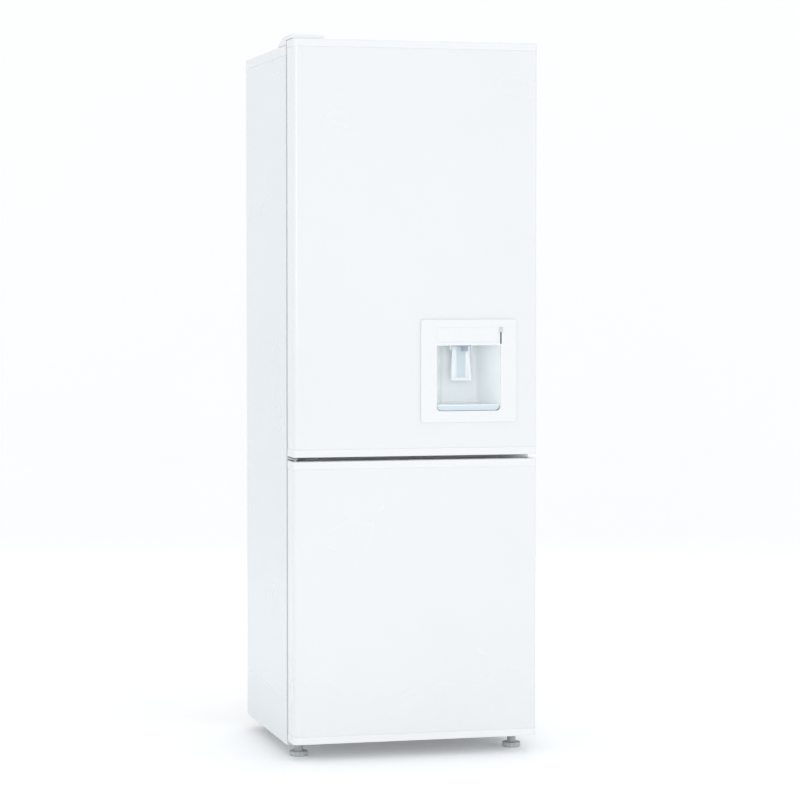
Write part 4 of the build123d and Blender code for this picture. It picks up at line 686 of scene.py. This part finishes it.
# %% The recipe class
class Recipe(Graph):
    """A Geometry Nodes tree with named inputs."""

    def __init__(self, name, **inputs):
        super().__init__(bpy.data.node_groups.new(name, "GeometryNodeTree"))
        face = self.tree.interface
        face.new_socket("Geometry", in_out="INPUT", socket_type="NodeSocketGeometry")
        self.sockets = {}
        for label, kind in inputs.items():
            socket = face.new_socket(label, in_out="INPUT", socket_type="NodeSocket" + kind)
            self.sockets[label] = socket.identifier
        face.new_socket("Geometry", in_out="OUTPUT", socket_type="NodeSocketGeometry")
        self.inlet = self.tree.nodes.new("NodeGroupInput")

    def value(self, label):
        return Wire(self, self.inlet.outputs[label])

    def close(self, geometry):
        """End the tree: realize the instances and set the finish."""
        whole = self.add("GeometryNodeRealizeInstances", values={0: geometry})
        painted = self.add("GeometryNodeSetMaterial",
                           values={"Geometry": whole, "Material": self.value("Finish")})
        outlet = self.tree.nodes.new("NodeGroupOutput")
        self.tree.links.new(painted.socket, outlet.inputs[0])

    def bake(self, source, name, **values):
        """Run the tree on an object and keep the result as a mesh."""
        modifier = source.modifiers.new(name, "NODES")
        modifier.node_group = self.tree
        for label, value in values.items():
            modifier[self.sockets[label]] = value
        return freeze(source, name)


# %% The two recipes
STAMPS = Recipe("Stamps", Stamp="Object", Spin="Float", Seed="Int", Finish="Material")
stamp = STAMPS.add("GeometryNodeObjectInfo", values={"Object": STAMPS.value("Stamp"), "As Instance": True},
                   output="Geometry")
turn = STAMPS.add("GeometryNodeInputNamedAttribute", {"data_type": "FLOAT_VECTOR"}, {"Name": "turn"})
facing = STAMPS.add("FunctionNodeEulerToRotation", values={0: turn})
copies = STAMPS.add("GeometryNodeInstanceOnPoints",
                    values={"Points": STAMPS.value("Geometry"), "Instance": stamp, "Rotation": facing})
spin = STAMPS.add("FunctionNodeRandomValue", {"data_type": "FLOAT"},
                  {3: STAMPS.value("Spin"), "Seed": STAMPS.value("Seed")}, output=1)
about = STAMPS.add("ShaderNodeCombineXYZ", values={"Z": spin})
STAMPS.close(STAMPS.add("GeometryNodeRotateInstances", values={"Instances": copies, "Rotation": about}))

WIRES = Recipe("Wires", First="Vector", Last="Vector", Run="Vector", Wires="Int", Radius="Float",
               Wobble="Vector", Seed="Int", Finish="Material")
line = WIRES.add("GeometryNodeMeshLine", {"mode": "END_POINTS"},
                 {"Count": WIRES.value("Wires"), "Start Location": WIRES.value("First"),
                  "Offset": WIRES.value("Last")})
back = WIRES.add("ShaderNodeVectorMath", {"operation": "SCALE"}, {0: WIRES.value("Wobble"), "Scale": -1.0})
stray = WIRES.add("FunctionNodeRandomValue", {"data_type": "FLOAT_VECTOR"},
                  {0: back, 1: WIRES.value("Wobble"), "Seed": WIRES.value("Seed")})
line = WIRES.add("GeometryNodeSetPosition", values={"Geometry": line, "Offset": stray})
run = WIRES.add("GeometryNodeCurvePrimitiveLine", values={"End": WIRES.value("Run")})
circle = WIRES.add("GeometryNodeCurvePrimitiveCircle",
                   values={"Resolution": 8, "Radius": WIRES.value("Radius")})
wire = WIRES.add("GeometryNodeCurveToMesh",
                 values={"Curve": run, "Profile Curve": circle, "Fill Caps": True})
row = WIRES.add("GeometryNodeInstanceOnPoints", values={"Points": line, "Instance": wire})
both = WIRES.tree.nodes.new("GeometryNodeJoinGeometry")
for part in (WIRES.value("Geometry"), row):
    WIRES.tree.links.new(part.socket, both.inputs[0])
WIRES.close(Wire(WIRES, both.outputs[0]))
print("recipes:", [group.name for group in bpy.data.node_groups])


# %% Stamping copies
def stamped(name, stamp, places, finish, spin=0.0, seed=3):
    """Copies of a small piece at each (position, turn), frozen as one mesh."""
    mesh = bpy.data.meshes.new(name)
    mesh.from_pydata([place for place, _ in places], [], [])
    turns = mesh.attributes.new("turn", "FLOAT_VECTOR", "POINT")
    for k, (_, angles) in enumerate(places):
        turns.data[k].vector = angles
    piece = STAMPS.bake(stand(name, mesh), name + "_piece",
                        Stamp=stamp, Spin=spin, Seed=seed, Finish=finish)
    bpy.data.objects.remove(stamp)
    smooth_by_angle(piece.data)
    return piece


# %% [markdown]
# ## The studio sweep
# A product picture has no horizon. The floor is a very wide shallow bowl: flat under the object and out
# past the camera, then curving up, so that the far edge of the floor and the background are one surface
# with no line. It gives off a little light of its own, as paper lit from behind does, so that the shadow
# on it stays pale.

# %% Sweep
FLAT, BEND = 9.0, 6.0  # metres: radius of the flat floor and of the curve up
SIDES = 72
curve_up = [(BEND * (1 - math.cos(a)), FLAT + BEND * math.sin(a))
            for a in (math.radians(6 * k) for k in range(1, 14))]
bowl = [[(r * math.cos(math.tau * k / SIDES), r * math.sin(math.tau * k / SIDES), z) for k in range(SIDES)]
        for z, r in [(0, 0.01), (0, FLAT)] + curve_up]
studio_sweep = built("studio_sweep", [lofted(bowl, caps=False)], 80)
paper = Finish("studio_paper", (0.955, 0.96, 0.965), 0.7, Emission_Strength=0.13)
paper.put("Base Color", paper.blend(paper.noise(0.6, 2), (0.965, 0.97, 0.975), (0.95, 0.956, 0.963)))
paper.put("Emission Color", paper.blend(paper.noise(0.9, 2), (0.97, 0.985, 1.0), (0.95, 0.97, 0.99)))
paper.put("Roughness", 0.65 + paper.noise(3, 3) * 0.1)
paper.bump(paper.noise(160, 3), 0.00005)
studio_sweep.data.materials.append(paper.material)

# %% [markdown]
# ## The dispenser's paddle
# A glass pushes the paddle back. It hangs from a pin at the niche's roof and widens downwards. Its two
# long edges are rounded ridges that grow towards the bottom, where they meet in a lip, so the middle
# reads as a channel. Each level of the loft is one closed outline: the ridged front from left to right,
# then the flat back.


# %% Paddle
def smooth(low, high, value):
    t = min(max((value - low) / (high - low), 0.0), 1.0)
    return t * t * (3 - 2 * t)


def paddle_level(t, middle, pin_y, top, drop):
    """The outline at t, from 0 at the pin to 1 at the lip."""
    end = math.sqrt(max(0.0, 1 - max(0.0, (t - 0.965) / 0.035) ** 2)) * 0.08 + 0.92
    half = (22.5 + 4.3 * t ** 1.4) * MM * end
    ridge = (1.0 + 7.3 * t ** 1.8) * MM
    lip = smooth(0.86, 0.98, t) * ridge * 0.8
    outline = []
    for k in range(49):
        u = -1 + k / 24
        crown = math.sqrt(max(0.0, 1 - max(0.0, (abs(u) - 0.84) / 0.16) ** 2))
        rise = max(ridge * smooth(0.5, 0.74, abs(u)), lip) * crown * end
        outline.append((middle + half * u, pin_y - 1.2 * MM * crown - rise, top - drop * t))
    outline += [(middle + half * u, pin_y + 1.3 * MM, top - drop * t) for u in (0.96, 0.5, 0, -0.5, -0.96)]
    return outline


low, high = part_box("dispenser_paddle")
pin_y, pin_z = high.y - 5 * MM, high.z - 5 * MM
middle = (low.x + high.x) / 2
levels = [paddle_level(k / 44, middle, pin_y, pin_z, pin_z - low.z) for k in range(45)]
reach = (high.x - low.x) / 2
barrel = [(-reach, 1.5), (-reach, 2.6), (-reach + 0.5 * MM, 3),
          (-23 * MM, 3), (-23 * MM, 4.4), (-22 * MM, 5),
          (22 * MM, 5), (23 * MM, 4.4), (23 * MM, 3),
          (reach - 0.5 * MM, 3), (reach, 2.6), (reach, 1.5)]
pin = turned([(along, radius * MM) for along, radius in barrel], (middle, pin_y, pin_z), "X")
settle(built("paddle", [lofted(levels), pin]), PADDLE_PLASTIC, "dispenser_paddle")

# %% [markdown]
# The lock's slot opens into the door, so it needs a floor and sides: a small grey sleeve behind the
# bezel.

# %% Sleeve behind the lock's slot
low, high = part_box("dispenser_lock")
SLOT_LOW, SLEEVE = 24 * MM, 5.6 * MM  # how far the slot runs down, and half the sleeve's width
near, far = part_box("dispenser_bezel")[1].y + 0.4 * MM, high.y + 5 * MM
middle = (low.x + high.x) / 2
walls = [(far, 0), (near, 0), (near, 0.6), (far - 0.6 * MM, 0.6)]
rings = []
for y, inset in walls:
    gap = inset * MM
    outline = ring(middle - SLEEVE + gap, middle + SLEEVE - gap, low.z - SLOT_LOW - 6 * MM + gap,
                   high.z + 2 * MM - gap, 1 * MM)
    rings.append([(x, y, z) for x, z in outline])
sleeve = built("slot_sleeve", [lofted(rings)])
sleeve.data.materials.append(GREY_PLASTIC)
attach(sleeve, "upper_door")

# %% [markdown]
# ## Drawers and bins
# Injection-moulded bins lean outwards so that they leave the mould, have rounded corners, and step out
# near the rim where they would otherwise be weak. `tub` stacks rings up the outside, over the rim and
# down the inside. The freezer drawers have a thicker front panel with a pull to hook fingers behind.


# %% Tubs, panels and pulls
def tub(x0, x1, y0, y1, z0, z1, wall=2.4, corner=14.0, draft=3.0):
    """A moulded open box with a step below its rim."""
    rise = (z1 - z0) / MM
    outside = [(0, draft + 6), (0.8, draft + 2.2), (3.5, draft), (rise - 17, 1.5), (rise - 14.5, 0.2),
               (rise - 1.5, 0), (rise - 0.4, 0.3), (rise, 0.9)]
    inside = [(rise, wall - 0.7), (rise - 0.5, wall - 0.1), (rise - 14, wall + 0.2),
              (rise - 16.5, wall + 1.5), (wall + 3.5, draft + wall),
              (wall + 0.8, draft + wall + 2.2), (wall, draft + wall + 6)]
    rings = []
    for up, inset in outside + inside:
        edge, bend = inset * MM, (corner - inset * 0.6) * MM
        outline = ring(x0 + edge, x1 - edge, y0 + edge, y1 - edge, bend)
        rings.append([(x, y, z0 + up * MM) for x, y in outline])
    return lofted(rings)


def panel(x0, x1, z0, z1, front, back, corner=5.0, edge=1.2):
    """An upright plate with a rounded outline and a soft front edge."""
    rings = []
    for share, inset in ((1, 0.3), (0.9, 0), (0.35, 0), (0.12, 0.3), (0, 1)):
        gap = inset * edge * MM
        outline = ring(x0 + gap, x1 - gap, z0 + gap, z1 - gap, corner * MM - gap)
        rings.append([(x, front + (back - front) * share, z) for x, z in outline])
    return lofted(rings)


def pull(x0, x1, front, top, drop, reach=6.0, thick=3.0):
    """A lip that stands off a drawer's front and turns down."""
    low = front - reach * MM
    inner = low + thick * MM
    profile = [(front + 0.5 * MM, top), (low + 2 * MM, top), (low + 0.5 * MM, top - 0.6 * MM),
               (low, top - 2.2 * MM), (low, top - drop + 1 * MM), (low + 0.8 * MM, top - drop),
               (inner - 0.8 * MM, top - drop), (inner, top - drop + 1 * MM), (inner, top - 5 * MM),
               (inner + 1 * MM, top - 3.6 * MM), (front + 0.5 * MM, top - 3.2 * MM)]
    return extruded(profile, x0, x1)


# %% Freezer drawers and crisper
for node in ("freezer_drawer_upper", "freezer_drawer_middle", "freezer_drawer_lower"):
    low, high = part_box(node)
    front, half = low.y + 6 * MM, high.x * 0.56
    shapes = [tub(low.x, high.x, front + 1 * MM, high.y, low.z, high.z - 0.5 * MM),
              panel(low.x, high.x, low.z, high.z, front, front + 4 * MM, 7),
              pull(-half, half, front, high.z, 26 * MM)]
    for k in range(3):
        z = low.z + (22 + 9 * k) * MM
        shapes.append(panel(-half, half, z, z + 3.2 * MM, front - 0.9 * MM, front + 0.4 * MM, 1.6, 0.6))
    settle(built(node + "_tub", shapes), CLEAR, node)

low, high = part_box("crisper_drawer")
front = low.y + 6 * MM
crisper = [tub(low.x, high.x, front, high.y, low.z, high.z - 0.5 * MM, corner=18),
           panel(low.x + 3 * MM, high.x - 3 * MM, high.z - 30 * MM, high.z,
                 front - 1 * MM, front + 2 * MM, 5),
           pull(high.x * -0.5, high.x * 0.5, front, high.z, 9 * MM)]
settle(built("crisper_tub", crisper), CLEAR, "crisper_drawer")


# %% Door bins
def rail(x0, x1, back, front, z0, z1, bend=9.0, thick=5.0):
    """A bar that runs round a bin's front, from side to side."""
    arc = [math.radians(90 * k / 8) for k in range(9)]
    r = bend * MM
    path = [(x0, back, 1, 0)]
    path += [(x0 + r - r * math.cos(a), front - r + r * math.sin(a), math.cos(a), -math.sin(a))
             for a in arc]
    path += [(x0 + x1 - x, y, -nx, ny) for x, y, nx, ny in reversed(path)]
    section = ring(0, thick * MM, z0, z1, 2.2 * MM, 3)
    return lofted([[(x + nx * n, y + ny * n, z) for n, z in section] for x, y, nx, ny in path])


def door_bin(x0, x1, y0, y1, z0, height):
    """A bin between the door's ribs, with brackets and a rail."""
    wall, shelf, top = 2.2, z0 + height * 0.6, z0 + height
    shapes = [tub(x0, x1, y0, y1, z0, z0 + height * 0.66, wall, 9.0, 2.0),
              rail(x0, x1, y1 - 16 * MM, y1, top - 11 * MM, top)]
    slope = [(y1 - 16 * MM, top), (y1 - 2 * MM, top), (y1 - 2 * MM, shelf), (y1 - 26 * MM, shelf)]
    for x in (x0, x1 - wall * MM):
        shapes.append(extruded(slope, x, x + wall * MM))
    return shapes


BIN_HEIGHT = 85 * MM
low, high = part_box("door_bins")
shapes = door_bin(low.x, high.x, low.y, high.y, low.z, BIN_HEIGHT)
shapes += door_bin(low.x, high.x, low.y, high.y, high.z - BIN_HEIGHT, BIN_HEIGHT)
settle(built("door_bin_pair", shapes), CLEAR, "door_bins")
low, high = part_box("bottle_bin")
bottle = door_bin(low.x, high.x, low.y, high.y, low.z, high.z - low.z)
settle(built("bottle_bin_tub", bottle), CLEAR, "bottle_bin")

# %% [markdown]
# ## Door seals
# A door seal is a vinyl extrusion with a magnet in its wide face and a bellows behind it, bent round the
# door and welded at the corners. Each point of its cross-section becomes one rounded rectangle, larger or
# smaller, nearer or farther, and the loft through them closes on itself.

# %% Gaskets
SEAL_SECTION = [(-6.5, 0), (6.5, 0), (7, 1), (6.8, 2.4), (4.6, 3.6), (4.4, 4.8), (7.2, 6.4),
                (7.2, 7.4), (4.8, 8.6), (5, 9.6), (7.6, 10.4), (8, 11.2), (8, 12.9), (7.2, 13.6),
                (-7.2, 13.6), (-8, 12.9), (-8, 11.2), (-7.6, 10.4), (-5, 9.6), (-4.8, 8.6),
                (-7.2, 7.4), (-7.2, 6.4), (-4.4, 4.8), (-4.6, 3.6), (-6.8, 2.4), (-7, 1)]
for door in ("upper_door", "lower_door"):
    low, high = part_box(door + "_gasket")
    rings = []
    for out, up in SEAL_SECTION + SEAL_SECTION[:1]:
        gap = (8 - out) * MM
        outline = ring(low.x + gap, high.x - gap, low.z + gap, high.z - gap, (9 + out) * MM, 5)
        rings.append([(x, low.y + up * MM, z) for x, z in outline])
    settle(built(door + "_seal", [lofted(rings, caps=False)], 50), SEAL, door + "_gasket")

# %% [markdown]
# ## Condenser and evaporators
# The condenser gives its heat away through a bent tube with dozens of thin wires welded to both faces.
# The freezer's shelves are built the same way and are themselves the evaporator. The tube is a curve with
# a round bevel, and the `Wires` recipe adds each row.


# %% Bent tubes
def bent_tube(name, half, runs, pitch, radius, place):
    """A tube that goes to and fro; place(across, along) gives each point."""
    points = []
    for k in range(runs):
        side = 1 if k % 2 == 0 else -1
        points.append(place(-side * (half - pitch / 2), k * pitch))
        points.append(place(side * (half - pitch / 2), k * pitch))
        if k < runs - 1:
            for step in range(1, 12):
                a = math.pi * (step / 12 - 0.5)
                points.append(place(side * (half - pitch / 2 + pitch / 2 * math.cos(a)),
                                    (k + 0.5) * pitch + pitch / 2 * math.sin(a)))
    curve = bpy.data.curves.new(name, "CURVE")
    curve.dimensions = "3D"
    curve.bevel_depth, curve.bevel_resolution, curve.use_fill_caps = radius, 3, True
    spline = curve.splines.new("POLY")
    spline.points.add(len(points) - 1)
    for point, co in zip(spline.points, points):
        point.co = (*co, 1)
    return freeze(stand(name, curve), name + "_tube")


# %% Condenser
low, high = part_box("condenser")
WIRE, TUBE = 0.8 * MM, 2.6 * MM
runs = 16
pitch = (high.z - low.z - 16 * MM) / (runs - 1)
first = low.z + 8 * MM
mid_y = high.y - 2 * WIRE - TUBE
tube = bent_tube("condenser", high.x - TUBE, runs, pitch, TUBE,
                 lambda across, along: (across, mid_y, first + along))
for face, y in enumerate((mid_y + TUBE + WIRE * 0.7, mid_y - TUBE - WIRE * 0.7)):
    tube = WIRES.bake(tube, f"condenser_wires_{face}", First=(low.x + pitch * 0.52, y, low.z),
                      Last=(high.x - pitch * 0.52, y, low.z), Run=(0, 0, high.z - low.z), Wires=58,
                      Radius=WIRE, Wobble=(0.5 * MM, 0, 0), Seed=5 + face, Finish=BLACK_PAINT)
smooth_by_angle(tube.data)
settle(tube, BLACK_PAINT, "condenser")

# %% Evaporator shelves
low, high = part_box("evaporator_shelves")
TUBE, WIRE = 4.0 * MM, 1.2 * MM
pitch = 44 * MM
front = low.y + TUBE
shelf = None
for level in (low.z + TUBE, high.z - TUBE - 2 * WIRE + 0.3 * MM):
    tube = bent_tube("evaporator", high.x - TUBE, 8, pitch, TUBE,
                     lambda across, along: (across, front + along, level))
    top = level + TUBE + WIRE - 0.3 * MM
    tube = WIRES.bake(tube, "evaporator_row", First=(low.x + 26 * MM, low.y, top),
                      Last=(high.x - 26 * MM, low.y, top), Run=(0, high.y - low.y, 0), Wires=31,
                      Radius=WIRE, Wobble=(0.4 * MM, 0, 0), Seed=11, Finish=WIRE_COATING)
    if shelf:
        form = bmesh.new()
        form.from_mesh(shelf.data)
        form.from_mesh(tube.data)
        form.to_mesh(shelf.data)
        form.free()
        bpy.data.objects.remove(tube)
    shelf = shelf or tube
smooth_by_angle(shelf.data)
settle(shelf, WIRE_COATING, "evaporator_shelves")

# %% [markdown]
# ## Screws and rivets
# The hinges are held by pan-head screws with a cross recess. The recess is part of the loft: after the
# dome, the outline changes from a circle to a cross and sinks. Where the screws go is read from the CAD
# node: each loose island of it is one screw. The back sheet is held by blind rivets, a washer-like flange
# with a dimple.


# %% Fastener shapes
SHANK = 13.5  # mm from a screw's head to its tip


def cross_outline(radius, arm):
    """A plus sign whose arms reach radius, as 48 points."""
    outline = []
    for k in range(48):
        a = math.tau * k / 48
        across = max(arm / max(abs(math.cos(a)), 1e-6), arm / max(abs(math.sin(a)), 1e-6))
        outline.append((min(radius, across) * math.cos(a), min(radius, across) * math.sin(a)))
    return outline


def screw_shape():
    """A pan-head screw whose head's underside is at z 0."""
    circles = [(-SHANK, 1.2), (-SHANK + 1, 2.2), (0, 2.2), (0, 4.5),
               (0.8, 4.6), (1.5, 4.3), (2.2, 3.4), (2.6, 2.6)]
    rings = [[(r * math.cos(math.tau * k / 48), r * math.sin(math.tau * k / 48), z) for k in range(48)]
             for z, r in circles]
    for z, r, arm in ((2.6, 2.3, 0.55), (1.0, 1.5, 0.4)):
        rings.append([(x, y, z) for x, y in cross_outline(r, arm)])
    return lofted([[tuple(c * MM for c in point) for point in one] for one in rings])


def islands(node):
    """The lowest and highest corner of each loose part of a CAD node."""
    form = bmesh.new()
    form.from_mesh(frame["nodes"][node].data)
    bmesh.ops.remove_doubles(form, verts=form.verts, dist=MERGE)
    left, boxes = set(form.verts), []
    while left:
        group, edge = set(), [left.pop()]
        while edge:
            vert = edge.pop()
            group.add(vert)
            near = {e.other_vert(vert) for e in vert.link_edges} & left
            left -= near
            edge += near
        boxes.append(tuple(Vector([pick(v.co[i] for v in group) for i in range(3)]) for pick in (min, max)))
    form.free()
    return boxes


# %% Screws on the hinges
places = []
for low, high in islands("hinge_screws"):
    middle = (low + high) / 2
    if high.z - low.z > high.y - low.y:
        places.append(((middle.x, middle.y, high.z - 2.6 * MM), (0, 0, 0)))
    else:
        places.append(((middle.x, low.y + 2.6 * MM, middle.z), (math.pi / 2, 0, 0)))
screws = stamped("screws", built("screw", [screw_shape()]), places, ZINC, spin=1.5)
settle(screws, ZINC, "hinge_screws")

# %% Rivets round the back sheet
low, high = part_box("back_panel")
sheet_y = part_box("left_side_panel")[1].y
head = [(0, 3.2), (0.5, 3.1), (1.0, 2.2), (1.1, 1.2), (0.5, 0.9)]
rivet = built("rivet", [turned(head, (0, 0, 0), "Z", 20)])
for vertex in rivet.data.vertices:
    vertex.co *= MM
rows = [low.z + 14 * MM + k * (high.z - low.z - 28 * MM) / 9 for k in range(10)]
places = [((side * (high.x - 8 * MM), sheet_y - 0.1 * MM, z), (-math.pi / 2, 0, 0))
          for z in rows for side in (-1, 1)]
rivets = stamped("back_rivets", rivet, places, ZINC)
paint(rivets, ZINC)
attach(rivets, "cabinet")

# %% [markdown]
# ## The thermostat's dial
# A dial needs grip, so its rim is fluted: the radius of each ring follows a cosine. A raised pointer runs
# across its face. Ten equal ticks on the control box mark the dial's range, without any
# lettering.

# %% Dial and its marks
low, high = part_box("thermostat_dial")
middle = (low + high) / 2
radius = (high.z - low.z) / 2
depth = high.y - low.y


def flute(a, along):
    """How far the dial's edge goes in and out: 26 flutes that fade towards the face and the back."""
    return 1 + 0.018 * math.cos(26 * a) * smooth(-depth * 0.5, -depth * 0.15, -abs(along + depth * 0.1))


profile = [(depth / 2, radius * 0.6), (depth / 2, radius * 0.94), (depth * 0.42, radius * 0.97),
           (-depth * 0.3, radius * 0.93), (-depth * 0.42, radius * 0.88), (-depth * 0.46, radius * 0.78),
           (-depth * 0.4, radius * 0.6), (-depth * 0.4, radius * 0.1)]
knob = turned(profile, middle, "Y", 156, flute)
bar = panel(middle.x - 1.6 * MM, middle.x + 1.6 * MM, middle.z - radius * 0.2, middle.z + radius * 0.82,
            low.y, low.y + depth * 0.4, 1.5, 0.8)
settle(built("dial", [knob, bar]), WHITE_PLASTIC, "thermostat_dial")

box_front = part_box("control_box")[0].y
tick = built("tick", [panel(-0.6 * MM, 0.6 * MM, 0, 2.6 * MM, -0.35 * MM, 0.1 * MM, 0.5, 0.2)])
places = []
for k in range(10):
    a = math.radians(-135 + 30 * k)
    out = radius + 2.2 * MM
    places.append(((middle.x + out * math.sin(a), box_front, middle.z + out * math.cos(a)), (0, a, 0)))
marks = stamped("dial_marks", tick, places, GREY_PLASTIC)
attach(marks, "cabinet")
